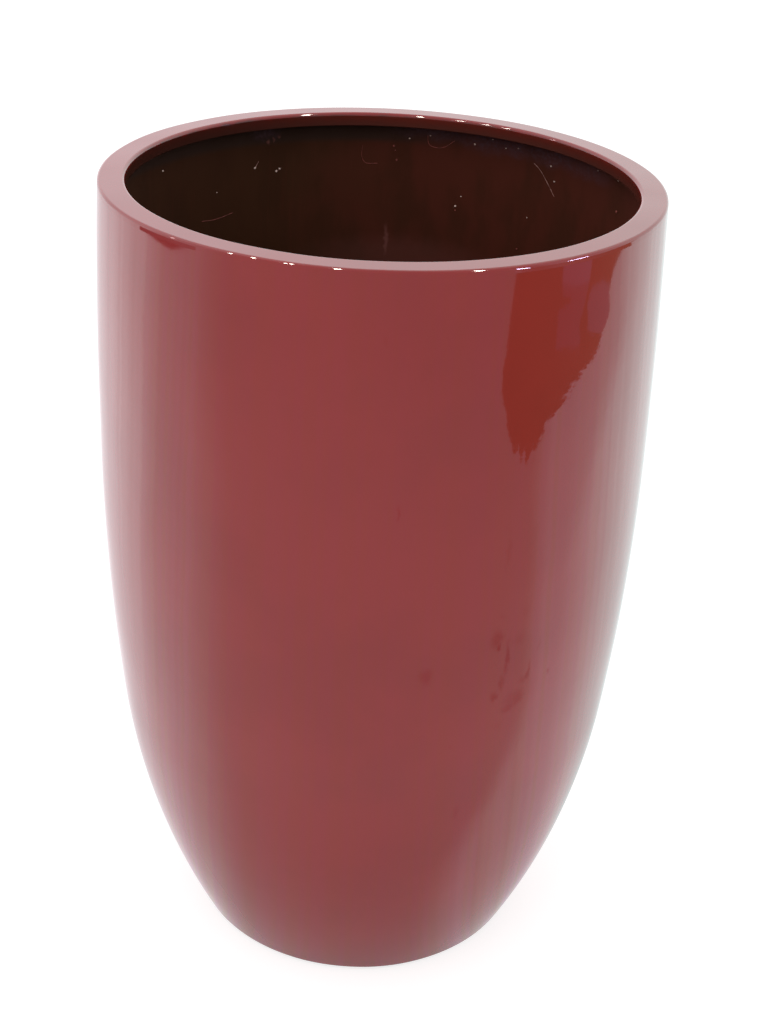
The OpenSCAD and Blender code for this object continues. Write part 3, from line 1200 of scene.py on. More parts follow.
@dataclass
class SealingCoat:
    """Dark coat brushed over the inside, with its runs, caught strands and grit."""

    pot: LacqueredPot
    finish: bpy.types.Material
    strand: bpy.types.Material
    grit: bpy.types.Material
    stained: bpy.types.Material
    gap: float = 0.0003
    thickness: float = 0.001
    top: float = 0.676
    run_count: int = 26
    run_height: float = 0.0004
    even_points: int = 12
    # How deep grit and strands sit in the coat, and a strand's radius
    grain_depth: float = 0.0003
    strand_depth: float = 0.0004
    strand_radius: float = 0.00045
    # More grit is scattered over the inside: azimuths, heights and sizes it lies between, and its number
    scatter: tuple[Point, ...] = ((-100, 110), (0.42, 0.66), (0.0009, 0.0017))
    scattered: int = 26
    # Brushed thickness: lumps 0.12 mm high, as close as 30 mm
    lumps: Ripple = Ripple(seed=11, height=0.00012, most_round=44, most_along=140.0, count=30)
    # Grit and strands on the upper wall: degrees round from the front, and heights
    grains: tuple[tuple[float, float, float], ...] = (
        (-119.6, 0.655, 0.0020),
        (-147.4, 0.639, 0.0021),
        (-153.0, 0.634, 0.0019),
        (-153.8, 0.636, 0.0019),
        (-137.0, 0.622, 0.0012),
        (174.7, 0.664, 0.0016),
        (169.7, 0.668, 0.0011),
        (158.7, 0.665, 0.0016),
        (154.2, 0.672, 0.0011),
        (150.7, 0.666, 0.0012),
        (147.4, 0.668, 0.0012),
        (138.1, 0.659, 0.0015),
        (136.9, 0.646, 0.0015),
        (161.5, 0.614, 0.0010),
        (162.8, 0.604, 0.0020),
        (144.0, 0.606, 0.0010),
        (123.2, 0.669, 0.0011),
        (115.4, 0.668, 0.0011),
    )
    strands: tuple[tuple[Point, ...], ...] = (
        ((143.0, 0.658), (140.6, 0.651), (136.6, 0.632)),
        ((-147.4, 0.639), (-148.4, 0.645)),
        ((-152.8, 0.633), (-154.2, 0.637)),
        ((-96.0, 0.602), (-92.0, 0.611), (-89.5, 0.606)),
        ((38.0, 0.588), (41.5, 0.579), (47.0, 0.583), (49.0, 0.592)),
    )
    # The same where the coat has stained them
    stained_grains: tuple[tuple[float, float, float], ...] = (
        (178.4, 0.656, 0.0018),
        (178.0, 0.652, 0.0012),
        (177.6, 0.643, 0.0018),
        (115.2, 0.641, 0.0022),
        (162.8, 0.600, 0.0012),
        (146.2, 0.574, 0.0018),
    )
    stained_strands: tuple[tuple[Point, ...], ...] = (
        ((-174.1, 0.656), (-174.0, 0.645), (-175.1, 0.639), (-177.9, 0.639)),
        ((-132.6, 0.598), (-136.9, 0.597), (-141.6, 0.600)),
        ((170.4, 0.668), (169.7, 0.659), (166.6, 0.658), (163.6, 0.666)),
        ((-24.0, 0.536), (-19.0, 0.543)),
    )

    @property
    def inset(self) -> float:
        """How far the coat's face is drawn in from the outside."""
        return self.pot.wall + self.gap + self.thickness

    def runs(self, angle: np.ndarray, height: np.ndarray) -> np.ndarray:
        """Runs that sagged down the wall before the coat dried, each with a bead at its lower end.

        Args:
            angle: Angle round the axis.
            height: Height above the floor.

        Returns:
            Their share of the full rise, from 0 to 1.
        """
        chance = np.random.default_rng(23)
        total = np.zeros(np.broadcast_shapes(angle.shape, height.shape))
        for _ in range(self.run_count):
            turn, low = chance.uniform(0, 2 * math.pi), chance.uniform(0.2, 0.62)
            length, width = chance.uniform(0.04, 0.16), chance.uniform(0.010, 0.018)
            aside = np.angle(np.exp(1j * (angle - turn + 0.004 * np.sin(height * 60 + turn))))
            stem = np.clip((height - low) / 0.01, 0, 1) * np.clip((low + length - height) / length, 0, 1)
            bead = np.exp(-(((height - low - 0.006) / 0.006) ** 2))
            total = np.maximum(total, np.exp(-((aside / width) ** 2)) * np.maximum(0.55 * stem, bead))
        return total

    def relief(self, angle: np.ndarray, radius: np.ndarray, height: np.ndarray) -> np.ndarray:
        """Rise of the coat's face: lumps and runs, laid so that nothing stands out past the even shape."""
        lumps = self.lumps.at(angle, radius, height) - self.lumps.height
        return lumps - self.run_height + self.run_height * self.runs(angle, height)

    def face_at(self, azimuth: float, height: float, lift: float) -> tuple[Vector, Vector]:
        """A point on the coat's face and the direction out of it, towards the axis."""
        point = self.pot.side.place(azimuth, height, self.inset)
        out = Vector((-point.x, -point.y, 0.0)).normalized()
        return point + out * lift, out

    def lay_grains(self, heap: Heap, grains: Sequence[tuple[float, float, float]]) -> None:
        """Press grains into the wall, each given by its azimuth, height and size."""
        for seed, (azimuth, height, size) in enumerate(grains):
            point, out = self.face_at(azimuth, height, -self.grain_depth)
            heap.grain(point, out, size, seed)

    def lay_strand(self, heap: Heap, line: Sequence[Point]) -> None:
        """Lay a strand on the wall.

        Args:
            heap: Heap that gets the strand.
            line: Azimuths and heights that it runs through.
        """
        ends = [line[0], *line, line[-1]]
        path, facing = [], []
        for k in range(len(line) - 1):
            for i in range(8 if k < len(line) - 2 else 9):
                azimuth, height = curved(ends[k : k + 4], i / 8)
                point, out = self.face_at(azimuth, height, -self.strand_depth)
                path.append(point)
                facing.append(out)
        heap.tube(path, facing, self.strand_radius)

    def caught(self) -> list[bpy.types.Object]:
        """Lay the grit and the strands on the wall.

        Returns:
            The pieces of grit, of strands, and of those that the coat has stained.
        """
        grit, strands, stained = Heap(), Heap(), Heap()
        chance = np.random.default_rng(7)
        scattered = [tuple(chance.uniform(*span) for span in self.scatter) for _ in range(self.scattered)]
        self.lay_grains(grit, [*self.grains, *scattered])
        self.lay_grains(stained, self.stained_grains)
        for line in self.strands:
            self.lay_strand(strands, line)
        for line in self.stained_strands:
            self.lay_strand(stained, line)
        return [
            settle(grit.build("caught_grit", self.grit), Body.POT, Slot.COAT),
            settle(strands.build("caught_strands", self.strand), Body.POT, Slot.COAT),
            settle(stained.build("stained_bits", self.stained), Body.POT, Slot.COAT),
        ]

    def build(self) -> list[bpy.types.Object]:
        """Turn the coat and lay what it caught on it.

        Returns:
            The coat and what it caught.
        """
        pot, low = self.pot, self.pot.side.foot_height + self.pot.base
        outside = pot.side.outline(pot.wall + self.gap, pot.floor_fillet, low, self.top, 0.012)
        inside = pot.side.outline(self.inset, pot.floor_fillet, low + self.thickness, self.top, 0.0042)
        below = pot.base_line(pot.base, self.gap, pot.drain, 0.0012)
        above = pot.base_line(pot.base + self.thickness, self.gap, pot.drain, 0.0012)
        profile = Profile()
        profile.run(below, relief=0.0)
        profile.run(outside, relief=0.0)
        profile.run(inside[::-1])
        profile.run(above[::-1], relief=0.25)
        # The last points lie round the drain hole, where the coat is even under the plug's flange.
        even = self.even_points
        profile.reliefs[-even:] = [0.0] * even
        coat = turned("sealing_coat", profile, 320, [self.finish], self.relief)
        return [settle(coat, Body.POT, Slot.COAT, "inner_coat"), *self.caught()]


def curved(points: Sequence[Point], share: float) -> Point:
    """A point between the middle two of four, on a curve through all of them.

    Args:
        points: Four points.
        share: How far along from the second to the third, from 0 to 1.

    Returns:
        The point.
    """
    a, b, c, d = points
    s = share
    return tuple(
        0.5
        * (
            2 * b[k]
            + (c[k] - a[k]) * s
            + (2 * a[k] - 5 * b[k] + 4 * c[k] - d[k]) * s**2
            + (3 * b[k] - a[k] - 3 * c[k] + d[k]) * s**3
        )
        for k in (0, 1)
    )


@dataclass
class PasteBead:
    """Bead of bonding paste, smoothed with a finger into the angle behind the skirt."""

    pot: LacqueredPot
    finish: bpy.types.Material
    size: float = 0.007
    gap: float = 0.0003
    dabs: Ripple = Ripple(seed=31, height=0.0003, most_round=60, most_along=200.0, count=20)

    def relief(self, angle: np.ndarray, radius: np.ndarray, height: np.ndarray) -> np.ndarray:
        """Finger dabs, laid so that nothing stands out past the even shape."""
        return self.dabs.at(angle, radius, height) - self.dabs.height

    def build(self) -> list[bpy.types.Object]:
        """Turn the bead.

        Returns:
            The one piece.
        """
        side, seam = self.pot.side, self.pot.seam
        face = self.pot.wall + self.gap
        foot = seam - self.size
        hollow = arc((side.radius_at(foot, face) - self.size, foot), self.size, math.pi / 2, 0.0, 0.0008)
        start = (side.radius_at(seam, face), seam)
        profile = Profile()
        profile.run(straight(start, hollow[0], 0.002), relief=0.0)
        profile.run(hollow[1:-1], relief=1.0)
        profile.run(straight(hollow[-1], start, 0.002)[:-1], relief=0.0)
        bead = turned("paste_bead", profile, 360, [self.finish], self.relief)
        return [settle(bead, Body.POT, Slot.PASTE, "rim_bond")]


@dataclass
class DrainPlug:
    """Rubber plug: a ribbed stem in the drain hole, a flange on the coat and a fluted knob."""

    pot: LacqueredPot
    finish: bpy.types.Material
    seat: float = 0.019
    clearance: float = 0.00008
    stem_reach: float = 0.002
    rib_depth: float = 0.001
    rib: float = 0.003
    flange_lap: float = 0.007
    flange: float = 0.004
    knob_radius: float = 0.012
    knob: float = 0.016
    neck_radius: float = 0.0065
    flutes: int = 14
    flute_depth: float = 0.0007
    # Roundings of the stem's end, the ribs, the angle under the flange, the neck and the knob's underside
    end_round: float = 0.0008
    rib_round: float = 0.0005
    seat_round: float = 0.0003
    neck_round: float = 0.0015
    knob_round: float = 0.001
    # The feed point's dish in the knob's top: outer and inner radius, depth and rounding
    dish_radii: Point = (0.0034, 0.0026)
    dish_depth: float = 0.0006
    dish_round: float = 0.0005
    # Distances between points along the profile, on flat and on rounded stretches
    step: float = 0.001
    round_step: float = 0.0004

    def relief(self, angle: np.ndarray, radius: np.ndarray, height: np.ndarray) -> np.ndarray:
        """Flutes in the knob's edge, that fingers grip."""
        flute = (0.5 + 0.5 * np.cos(self.flutes * angle)) ** 3
        return -self.flute_depth * flute * np.ones_like(radius)

    def rib_line(self, stem: float, crest: float, height: float) -> list[Point]:
        """A sealing rib with a rounded crest, centred at a height."""
        half = self.rib / 2
        corners = [
            (stem, height - half),
            (crest, height - half / 2),
            (crest, height + half / 2),
            (stem, height + half),
        ]
        return eased(corners, self.rib_round, 0.0006)

    def build(self) -> list[bpy.types.Object]:
        """Turn the plug.

        Returns:
            The one piece.
        """
        floor = self.pot.panel_height
        tip = floor - self.stem_reach
        crest = self.pot.drain - self.clearance
        stem = crest - self.rib_depth
        flange, flange_top = self.pot.drain + self.flange_lap, self.seat + self.flange
        top, edge = flange_top + self.knob, self.knob / 4
        lip = self.flange / 2
        round_flange = arc((flange - lip, flange_top - lip), lip, 0, math.pi / 2, self.round_step)
        cap = arc((self.knob_radius - edge, top - edge), edge, -math.pi / 3, math.pi / 2, self.round_step)
        under = (self.neck_radius, top - 3 * edge)
        profile = Profile()
        end = [(0, tip), (stem - self.stem_reach, tip), (stem, floor)]
        profile.run(eased(end, self.end_round, 2 * self.step), relief=0.0)
        profile.run(self.rib_line(stem, crest, floor + self.rib), relief=0.0)
        profile.run(self.rib_line(stem, crest, self.seat - self.rib), relief=0.0)
        seat = [(stem, self.seat - self.rib / 2), (stem, self.seat), (flange, self.seat)]
        profile.run(eased(seat, self.seat_round, self.step), relief=0.0)
        profile.run(round_flange, relief=0.0)
        neck = [round_flange[-1], (self.neck_radius, flange_top), under]
        profile.run(eased(neck, self.neck_round, self.step), relief=0.0)
        profile.run(eased([under, cap[0]], self.knob_round, self.step), relief=0.0)
        profile.run(cap, relief=1.0)
        # The feed point of the mould leaves a shallow dish in the knob's top.
        (outer, inner), low = self.dish_radii, top - self.dish_depth
        dish = [cap[-1], (outer, top), (inner, low), (0.0, low)]
        profile.run(eased(dish, self.dish_round, self.step)[1:], relief=0.0)
        plug = turned("rubber_plug", profile, 168, [self.finish], self.relief)
        return [settle(plug, Body.PLUG, Slot.RUBBER, "drain_plug")]


@dataclass
class FootPads:
    """Rubber pads stuck under the foot ring, grooved underneath so that they grip."""

    pot: LacqueredPot
    finish: bpy.types.Material
    count: int = 4
    radius: float = 0.013
    thickness: float = 0.003
    edge: float = 0.0006
    grooves: tuple[float, ...] = (0.0045, 0.0085)
    groove_width: float = 0.0016
    groove_depth: float = 0.0005

    def build(self) -> list[bpy.types.Object]:
        """Turn the pads and set them round the foot ring.

        Returns:
            The pads.
        """
        half, deep, reach = self.groove_width / 2, self.groove_depth, self.radius
        line: list[Point] = [(0.0, 0.0)]
        for groove in self.grooves:
            line += [(groove - half, 0.0), (groove - half / 2, deep)]
            line += [(groove + half / 2, deep), (groove + half, 0.0)]
        line += [(reach - self.edge, 0.0), (reach, self.edge)]
        line += [(reach, self.thickness), (0.0, self.thickness)]
        ring = self.pot.side.foot_radius - self.pot.foot_ring / 2
        pads = []
        for i in range(self.count):
            turn = 2 * math.pi * (i + 0.5) / self.count
            profile = Profile().run(eased(line, 0.0004, 0.002), relief=0.0)
            centre = (ring * math.cos(turn), ring * math.sin(turn))
            pad = turned(f"rubber_pad_{i + 1}", profile, 96, [self.finish], centre=centre)
            pads.append(settle(pad, Body.POT, Slot.RUBBER, f"foot_pad_{i + 1}"))
        return pads


# The studio


@dataclass(frozen=True)
class StudioCamera:
    """The camera, fitted to the pot's edges."""

    target: Vector = Vector((0.01207, 0.0, 0.3896))
    distance: float = 1.4326
    elevation: float = 27.617
    roll: float = 2.551
    lens: float = 57.25

    @property
    def forward(self) -> Vector:
        """The way it looks."""
        tilt = math.radians(self.elevation)
        return Vector((0.0, math.cos(tilt), -math.sin(tilt)))

    @property
    def eye(self) -> Vector:
        """Where it stands."""
        return self.target - self.forward * self.distance

    def build(self) -> None:
        """Make the camera and hand the scene to it."""
        tilt, roll = math.radians(self.elevation), math.radians(self.roll)
        up, right = Vector((0.0, math.sin(tilt), math.cos(tilt))), Vector((1.0, 0.0, 0.0))
        across = right * math.cos(roll) + up * math.sin(roll)
        upward = up * math.cos(roll) - right * math.sin(roll)
        data = bpy.data.cameras.new("studio_camera")
        data.lens = self.lens
        data.sensor_width = 36.0
        data.clip_start, data.clip_end = 0.05, 60.0
        camera = bpy.data.objects.new("studio_camera", data)
        turned_round = Matrix((across, upward, -self.forward)).transposed().to_4x4()
        camera.matrix_world = Matrix.Translation(self.eye) @ turned_round
        bpy.context.scene.collection.objects.link(camera)
        bpy.context.scene.camera = camera


@dataclass(frozen=True)
class DarkGap:
    """A place on the white sweep where the lacquer mirrors a darker floor."""

    name: str
    colour: str
    lift: float
    outline: tuple[Point, ...]


@dataclass(frozen=True)
class FarLamp:
    """A lamp of the studio that the rim's rounded edge mirrors as a short bright line."""

    azimuth: float
    lean: float
    width: float
    brightness: float
    colour: str = "#FFF6EA"
    height: float = 2.6
    distance: float = 6.0


@dataclass(frozen=True)
class SideLight:
    """How the floor on one side is lit, by how far round a place lies: -1 is in front, 1 behind the pot."""

    # Where the light climbs to its plateau, how much sooner it does so at the foot, and later far from it
    plateau: Point
    foot_shift: float
    plateau_shift: float
    # The same for its peak
    peak: Point
    peak_shift: float
    # How much farther round than on the other side it falls off again
    late: float


@dataclass
class Studio:
    """White sweep, soft light and the surroundings that the lacquer mirrors."""

    camera: StudioCamera
    rim: bpy.types.Object
    rim_radius: float = 0.2236
    rim_height: float = 0.6885
    # Soft light: the room's brightness towards the horizon and overhead
    horizon: float = 0.53
    zenith: float = 0.98
    # The softbox overhead: its place, what it faces, its size and how bright it is
    softbox: Vector = Vector((-1.1, -1.2, 2.5))
    softbox_aim: Vector = Vector((0, 0, 0.3))
    softbox_size: float = 2.0
    softbox_radiance: float = 0.85
    # The white sweep: its reach each way, how far under the pads it lies, its paper as it lights the pot
    # and as the camera sees it, and how much it glows to the camera
    sweep_reach: float = 12.0
    sweep_drop: float = 0.0002
    paper: str = "#F8F8F8"
    seen_paper: str = "#BABABA"
    paper_glow: float = 0.75
    white: str = "#FFFFFF"
    # Mirrored brightness: in front, behind above the floor, and its gain at the plateau and at the peak
    front: float = 1.24
    back: float = 1.64
    plateau: float = 0.50
    peak: float = 0.45
    # Distances from the pot over which the plateau and the peak grow, their shifts come in, the foot's goes
    plateau_reach: Point = (0.0, 0.38)
    peak_reach: Point = (0.45, 1.40)
    shift_reach: Point = (0.9, 2.0)
    foot_reach: Point = (0.18, 0.62)
    # How far round the gain falls off, and how much sooner close to the pot: its reach over the distance
    fall: Point = (0.47, 1.13)
    pot_reach: float = 0.26
    soonest: float = 0.62
    # The pot's shade on the floor, the dimming farther out and at the right, and how the panels differ
    shade_reach: Point = (0.12, 0.50)
    shade: float = 0.6
    dim_reach: Point = (0.6, 2.6)
    dimming: float = 0.2
    right_dimming: float = 0.12
    panel_gain: Point = (0.85, 1.15)
    plain: str = "#F7F4F2"
    pink: str = "#FDF1FB"
    warm: str = "#FFFBFF"
    cool: str = "#F3FFFF"
    left: SideLight = SideLight((-0.68, -0.32), 0.12, 0.10, (-0.12, 0.22), 0.0, 0.0)
    right: SideLight = SideLight((-0.50, -0.32), 0.45, 0.0, (-0.20, 0.05), 0.38, 0.13)
    # How far from the pot the darker places turn into lit floor again
    fade: Point = (3.1, 5.5)
    gaps: tuple[DarkGap, ...] = (
        DarkGap(
            "bare_floor_right",
            "#BCAB89",
            0.001,
            (
                (7.00, -4.60),
                (2.30, -1.80),
                (1.80, -1.53),
                (1.50, -1.34),
                (1.35, -1.22),
                (1.25, -1.04),
                (1.19, -0.88),
                (1.25, -0.86),
                (1.20, -0.80),
                (1.26, -0.79),
                (1.21, -0.73),
                (1.30, -0.71),
                (1.28, -0.68),
                (1.45, -0.62),
                (1.60, -0.50),
                (1.75, -0.34),
                (1.82, -0.18),
                (1.90, 0.03),
                (2.05, 0.22),
                (2.17, 0.31),
                (2.26, 0.27),
                (2.44, 0.39),
                (2.52, 0.55),
                (2.58, 0.80),
                (7.00, 4.60),
            ),
        ),
        DarkGap(
            "bare_floor_left",
            "#8C9296",
            0.001,
            (
                (-2.68, 0.64),
                (-2.64, 0.48),
                (-2.68, 0.10),
                (-2.71, -0.30),
                (-2.76, -0.50),
                (-2.80, -0.70),
                (-2.86, -0.92),
                (-7.00, -2.25),
                (-7.00, 1.67),
            ),
        ),
        DarkGap(
            "lit_floor_near",
            "#C4B8B6",
            0.002,
            (
                (2.52, -0.82),
                (2.40, -0.75),
                (2.39, -0.56),
                (2.30, -0.55),
                (2.22, -0.78),
                (1.90, -0.68),
                (1.95, -0.27),
                (2.10, -0.30),
                (2.30, -0.23),
                (2.52, -0.18),
            ),
        ),
        DarkGap(
            "lit_floor_far",
            "#DACCDC",
            0.002,
            (
                (3.10, -0.95),
                (2.52, -0.82),
                (2.52, -0.18),
                (3.10, -0.14),
            ),
        ),
        DarkGap(
            "lit_floor_beside",
            "#CDC6CB",
            0.002,
            (
                (2.43, -0.10),
                (2.31, -0.17),
                (2.10, -0.17),
                (1.99, 0.12),
                (2.05, 0.22),
                (2.17, 0.31),
                (2.26, 0.27),
                (2.36, 0.33),
                (2.44, 0.14),
            ),
        ),
    )
    lamps: tuple[FarLamp, ...] = (
        FarLamp(-40.3, 30.0, 0.12, 14.0, "#FFD8D8"),
        FarLamp(-27.0, 38.0, 0.14, 60.0),
        FarLamp(-22.1, 38.0, 0.14, 60.0),
        FarLamp(-15.9, 38.0, 0.07, 70.0),
        FarLamp(-15.0, 38.0, 0.09, 70.0),
        FarLamp(-6.9, 38.0, 0.22, 80.0),
        FarLamp(18.1, 38.0, 0.32, 90.0),
        FarLamp(26.6, 4.0, 0.60, 90.0, "#E4D0FF"),
        FarLamp(38.6, 8.0, 1.00, 60.0, "#E4D0FF", 1.6),
    )

    def mirrored(self, nodes: Nodes, flat: Socket, far: Socket | float) -> tuple[Socket, Socket]:
        """What the lacquer mirrors: a room that is lit by softboxes at both sides.

        Args:
            nodes: Tree that gets the nodes.
            flat: Direction over the floor, away from the pot.
            far: Distance from the pot.

        Returns:
            Sockets of the brightness and of the colour.
        """
        ray = nodes.take(Step.DIRECTION, flat)
        parts = nodes.add("ShaderNodeSeparateXYZ", inputs={0: ray}).outputs
        left = self.gain(nodes, self.left, parts["Y"], far)
        right = self.gain(nodes, self.right, parts["Y"], far)
        share = nodes.take(Step.RANGE, parts["X"], (-0.3, 0.3), (0.0, 1.0))
        apart = nodes.take(Step.MULTIPLY, nodes.take(Step.SUBTRACT, right, left), share)
        # The softboxes' panels and folds differ a little in brightness, and some of them are pinker.
        inputs = {"Vector": ray, "Scale": 14.0, "Detail": 3.0}
        panels = nodes.add("ShaderNodeTexNoise", inputs=inputs).outputs[0]
        uneven = nodes.take(Step.RANGE, panels, (0.3, 0.7), self.panel_gain)
        gain = nodes.take(Step.MULTIPLY, nodes.take(Step.ADD, left, apart), uneven)
        inputs = {"Vector": ray, "Scale": 23.0, "Detail": 1.0}
        folds = nodes.add("ShaderNodeTexNoise", inputs=inputs).outputs[0]
        pinker = nodes.take(Step.RANGE, folds, (0.42, 0.58), (0.0, 1.0))
        pink = nodes.take(Step.MIX, pinker, linear(self.plain), linear(self.pink))
        # The pot shades the floor round its foot. Farther out the front gets darker, most on the right.
        near = nodes.take(Step.RANGE, far, self.shade_reach, (self.shade * self.front, self.front))
        dimmer = nodes.take(Step.RANGE, far, self.dim_reach, (0.0, self.dimming))
        base = nodes.take(Step.SUBTRACT, near, dimmer)
        base = nodes.take(Step.SUBTRACT, base, nodes.take(Step.MULTIPLY, parts["X"], self.right_dimming))
        white = nodes.take(Step.MIX, share, linear(self.warm), linear(self.cool))
        behind = nodes.take(Step.RANGE, parts["Y"], (-0.1, 0.4), (0.0, 1.0))
        return nodes.take(Step.ADD, base, gain), nodes.take(Step.MIX, behind, pink, white)

    def gain(self, nodes: Nodes, side: SideLight, behind: Socket, far: Socket | float) -> Socket:
        """How much brighter than in front the floor of one side is.

        Args:
            nodes: Tree that gets the nodes.
            side: How that side is lit.
            behind: How far round a place lies, from -1 in front to 1 behind.
            far: Its distance from the pot.

        Returns:
            The gain's socket.
        """
        away = nodes.take(Step.RANGE, far, self.shift_reach, (0.0, 1.0))
        placed = nodes.take(Step.SUBTRACT, behind, nodes.take(Step.MULTIPLY, away, side.plateau_shift))
        low = nodes.take(Step.RANGE, far, self.foot_reach, (side.foot_shift, 0.0))
        placed = nodes.take(Step.ADD, placed, low)
        plateau = nodes.take(Step.RANGE, placed, side.plateau, (0.0, self.plateau))
        grown = nodes.take(Step.RANGE, far, self.plateau_reach, (0.0, 1.0))
        plateau = nodes.take(Step.MULTIPLY, plateau, grown)
        placed = nodes.take(Step.SUBTRACT, behind, nodes.take(Step.MULTIPLY, away, side.peak_shift))
        peak = nodes.take(Step.RANGE, placed, side.peak, (0.0, self.peak))
        peak = nodes.take(Step.MULTIPLY, peak, nodes.take(Step.RANGE, far, self.peak_reach, (0.0, 1.0)))
        # Close to the pot the light falls off sooner, because the pot stands in its way.
        sooner = nodes.take(Step.LEAST, nodes.take(Step.DIVIDE, self.pot_reach, far), self.soonest)
        shaded = nodes.take(Step.ADD, behind, sooner)
        start, end = self.fall
        fall = nodes.take(Step.RANGE, shaded, (start + side.late, end + side.late), (1.0, 0.0))
        return nodes.take(Step.MULTIPLY, nodes.take(Step.ADD, plateau, peak), fall)

    def mirrored_floor(self, board: Board) -> tuple[Socket, Socket]:
        """The floor as the lacquer mirrors it.

        Args:
            board: Board of a sheet on the floor.

        Returns:
            Sockets of its glow and of the distance from the pot.
        """
        flat, far = board.outward(board.place)
        strength, colour = self.mirrored(board, flat, far)
        return board.take(Step.EMIT, colour, strength), far

    def sweep(self) -> None:
        """Lay the white floor: it keeps a soft shadow, and the lacquer mirrors it as it's lit."""
        board = Board("white_sweep_paper")
        mirrored, _ = self.mirrored_floor(board)
        path = board.add("ShaderNodeLightPath").outputs
        paper = board.take(Step.SCATTER, linear(self.paper))
        # To the camera it glows by itself too, so that only a soft shadow is left.
        glow = board.take(Step.EMIT, linear(self.white), self.paper_glow)
        seen = board.take(Step.ADD_LIGHT, board.take(Step.SCATTER, linear(self.seen_paper)), glow)
        plain = board.take(Step.MIX_LIGHT, path["Is Camera Ray"], paper, seen)
        glossy = board.take(Step.GREATEST, path["Is Glossy Ray"], path["Is Transmission Ray"])
        whole = board.take(Step.MIX_LIGHT, glossy, plain, mirrored)
        board.tree.links.new(whole, board.tree.nodes["Material Output"].inputs["Surface"])
        board.material.cycles.emission_sampling = "NONE"
        reach = self.sweep_reach
        corners = [(-reach, -reach), (reach, -reach), (reach, reach), (-reach, reach)]
        self.sheet("white_sweep", corners, -self.sweep_drop, board.material)

    def sheet(
        self, name: str, outline: Sequence[Point], height: float, finish: bpy.types.Material
    ) -> bpy.types.Object:
        """Lay a flat sheet that belongs to the studio.

        Args:
            name: Name of the sheet.
            outline: Its corners.
            height: Height it lies at.
            finish: Its material.

        Returns:
            The sheet.
        """
        mesh = bpy.data.meshes.new(name)
        mesh.from_pydata([(x, y, height) for x, y in outline], [], [tuple(range(len(outline)))])
        mesh.materials.append(finish)
        sheet = bpy.data.objects.new(name, mesh)
        bpy.context.scene.collection.objects.link(sheet)
        return sheet

    def darker_floor(self) -> None:
        """Lay the darker places on the sweep, which only mirrors see. Far from the pot they fade out."""
        for gap in self.gaps:
            board = Board(gap.name)
            glow = board.take(Step.EMIT, linear(gap.colour), 1.0)
            mirrored, far = self.mirrored_floor(board)
            share = board.take(Step.RANGE, far, self.fade, (0.0, 1.0))
            whole = board.take(Step.MIX_LIGHT, share, glow, mirrored)
            board.tree.links.new(whole, board.tree.nodes["Material Output"].inputs["Surface"])
            board.material.cycles.emission_sampling = "NONE"
            sheet = self.sheet(gap.name, gap.outline, gap.lift, board.material)
            sheet.visible_camera = sheet.visible_diffuse = sheet.visible_shadow = False
            sheet.visible_transmission = sheet.visible_volume_scatter = False

    def room(self) -> None:
        """Set the world: white to the camera, soft light for the pot, in mirrors brighter at the back."""
        world = bpy.data.worlds.new("studio_room")
        bpy.context.scene.world = world
        world.use_nodes = True
        nodes = Nodes(world.node_tree)
        way = nodes.add("ShaderNodeTexCoord").outputs["Generated"]
        parts = nodes.add("ShaderNodeSeparateXYZ", inputs={0: way}).outputs
        flat = nodes.take(Step.STRETCH, way, (1.0, 1.0, 0.0))
        # The room is mirrored like the floor where its dimming ends.
        sides, colour = self.mirrored(nodes, flat, self.dim_reach[1])
        behind = nodes.take(Step.RANGE, parts["Y"], (-0.3, 0.75), (0.8 * self.front, self.back))
        inputs = {"Value": parts["Z"], "To Min": self.horizon, "To Max": self.zenith}
        overhead = nodes.add("ShaderNodeMapRange", inputs=inputs).outputs[0]
        path = nodes.add("ShaderNodeLightPath").outputs
        white = linear(self.white)
        soft = nodes.take(Step.SURROUND, white, overhead)
        room = nodes.take(Step.SURROUND, colour, nodes.take(Step.GREATEST, sides, behind))
        half = nodes.take(Step.MIX_LIGHT, path["Is Glossy Ray"], soft, room)
        clear = nodes.take(Step.GREATEST, path["Is Camera Ray"], path["Is Transmission Ray"])
        whole = nodes.take(Step.MIX_LIGHT, clear, half, nodes.take(Step.SURROUND, white, 1.0))
        nodes.tree.links.new(whole, nodes.tree.nodes["World Output"].inputs["Surface"])

    def area_lamp(
        self, name: str, place: Vector, aim: Vector, above: Vector, size: Point, radiance: float, colour: str
    ) -> bpy.types.Object:
        """Hang a flat lamp.

        Args:
            name: Name of the lamp.
            place: Where it hangs.
            aim: The point it faces.
            above: The way its height runs, as nearly as its aim lets it.
            size: Its width and height.
            radiance: How bright its face is, where 1 is white.
            colour: Its colour.

        Returns:
            The lamp.
        """
        data = bpy.data.lights.new(name, "AREA")
        data.shape = "RECTANGLE"
        data.size, data.size_y = size
        data.energy = radiance * math.pi * size[0] * size[1]
        data.color = linear(colour)[:3]
        lamp = bpy.data.objects.new(name, data)
        back = (place - aim).normalized()
        across = above.cross(back).normalized()
        turned_round = Matrix((across, back.cross(across), back)).transposed().to_4x4()
        lamp.matrix_world = Matrix.Translation(place) @ turned_round
        bpy.context.scene.collection.objects.link(lamp)
        lamp.visible_camera = False
        return lamp

    def mirrored_way(self, edge: Vector, azimuth: float, lean: float) -> Vector:
        """The way in which the rim's rounded edge mirrors the camera's sight.

        Args:
            edge: The place on the edge.
            azimuth: Its direction from the axis, in degrees.
            lean: How far up its face looks there, in degrees.

        Returns:
            The way, one metre long.
        """
        turn, rise = math.radians(azimuth), math.radians(lean)
        normal = Vector((math.sin(turn) * math.cos(rise), -math.cos(turn) * math.cos(rise), math.sin(rise)))
        sight = (self.camera.eye - edge).normalized()
        return 2 * normal.dot(sight) * normal - sight

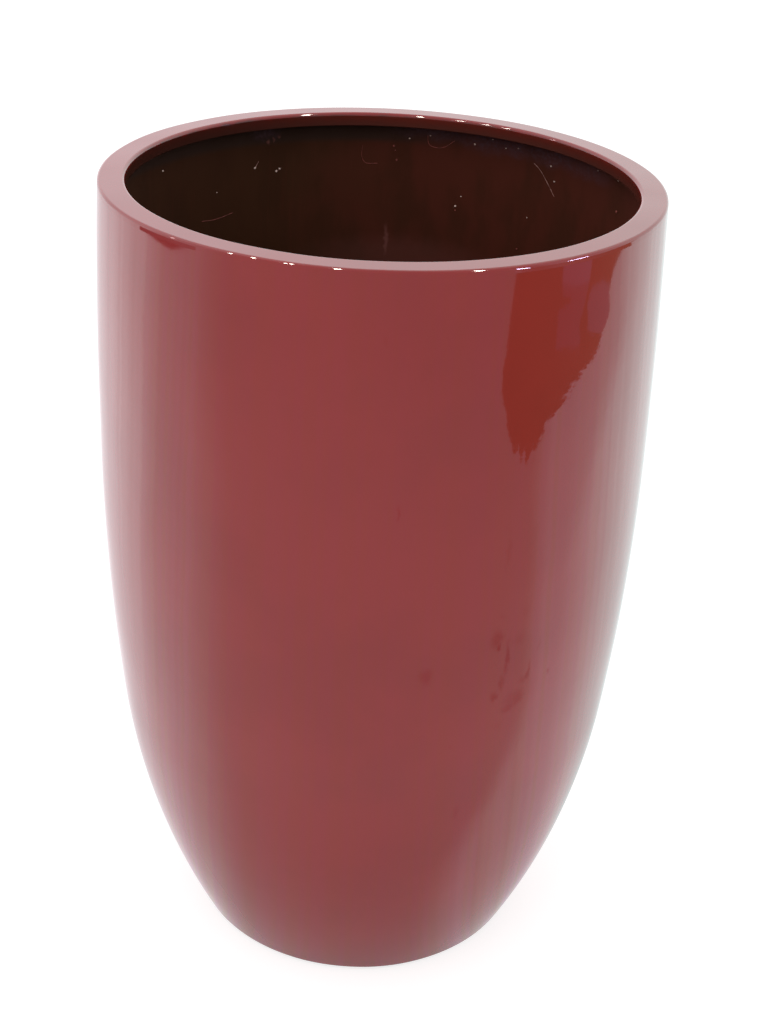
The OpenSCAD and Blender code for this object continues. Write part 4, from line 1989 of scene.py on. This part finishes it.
    def light(self) -> None:
        """Hang the soft overhead lamp, and the far lamps that only the rim's polished edge mirrors."""
        size, above = (self.softbox_size, self.softbox_size), Vector((0, 0, 1))
        box = self.area_lamp(
            "overhead_softbox", self.softbox, self.softbox_aim, above, size, self.softbox_radiance, self.white
        )
        box.visible_glossy = False
        lit = bpy.data.collections.new("polished_edge")
        lit.objects.link(self.rim)
        for number, far in enumerate(self.lamps, 1):
            turn, radius = math.radians(far.azimuth), self.rim_radius
            edge = Vector((radius * math.sin(turn), -radius * math.cos(turn), self.rim_height))
            way = self.mirrored_way(edge, far.azimuth, far.lean)
            # A lamp's height runs the way that the mirrored sight turns as the edge rounds over.
            higher, lower = (self.mirrored_way(edge, far.azimuth, far.lean + step) for step in (1, -1))
            along = higher - lower
            place, size = edge + way * far.distance, (far.width, far.height)
            lamp = self.area_lamp(f"far_lamp_{number}", place, edge, along, size, far.brightness, far.colour)
            lamp.visible_diffuse = False
            lamp.light_linking.receiver_collection = lit

    def build(self) -> None:
        """Set up the whole studio."""
        self.sweep()
        self.darker_floor()
        self.room()
        self.light()
        bpy.context.scene.view_settings.view_transform = "Standard"


def main() -> None:
    """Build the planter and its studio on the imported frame."""
    logging.basicConfig(level=logging.INFO, format="%(name)s: %(message)s")
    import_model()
    side = SideCurve()
    lacquer = PolishedLacquer(side).build()
    rubber = MouldedRubber().build()
    pot = LacqueredPot(side, lacquer, ChoppedMatLaminate().build())
    strand = LooseGlassStrand("glass_strand_loose", "#D8A498", "#7A4A40", (0.30, 0.50)).build()
    grit = LooseGlassStrand("pale_grit_caught", "#FFE6DA", "#EECABA", (0.25, 0.50)).build()
    stained = LooseGlassStrand("glass_strand_stained", "#B65A50", "#7A4038", (0.40, 0.60)).build()
    coat = SealingCoat(pot, BrushedCoat(side, 0.0063).build(), strand, grit, stained)
    parts = (
        pot,
        LacqueredRim(pot),
        coat,
        PasteBead(pot, FilledPaste().build()),
        DrainPlug(pot, rubber),
        FootPads(pot, rubber),
    )
    pieces = {piece.name: piece for part in parts for piece in part.build()}
    for name, piece in pieces.items():
        LOG.info("%s: %d faces", name, len(piece.data.polygons))
    camera = StudioCamera()
    camera.build()
    Studio(camera, pieces["lacquered_rim"]).build()


if __name__ == "__main__":
    main()
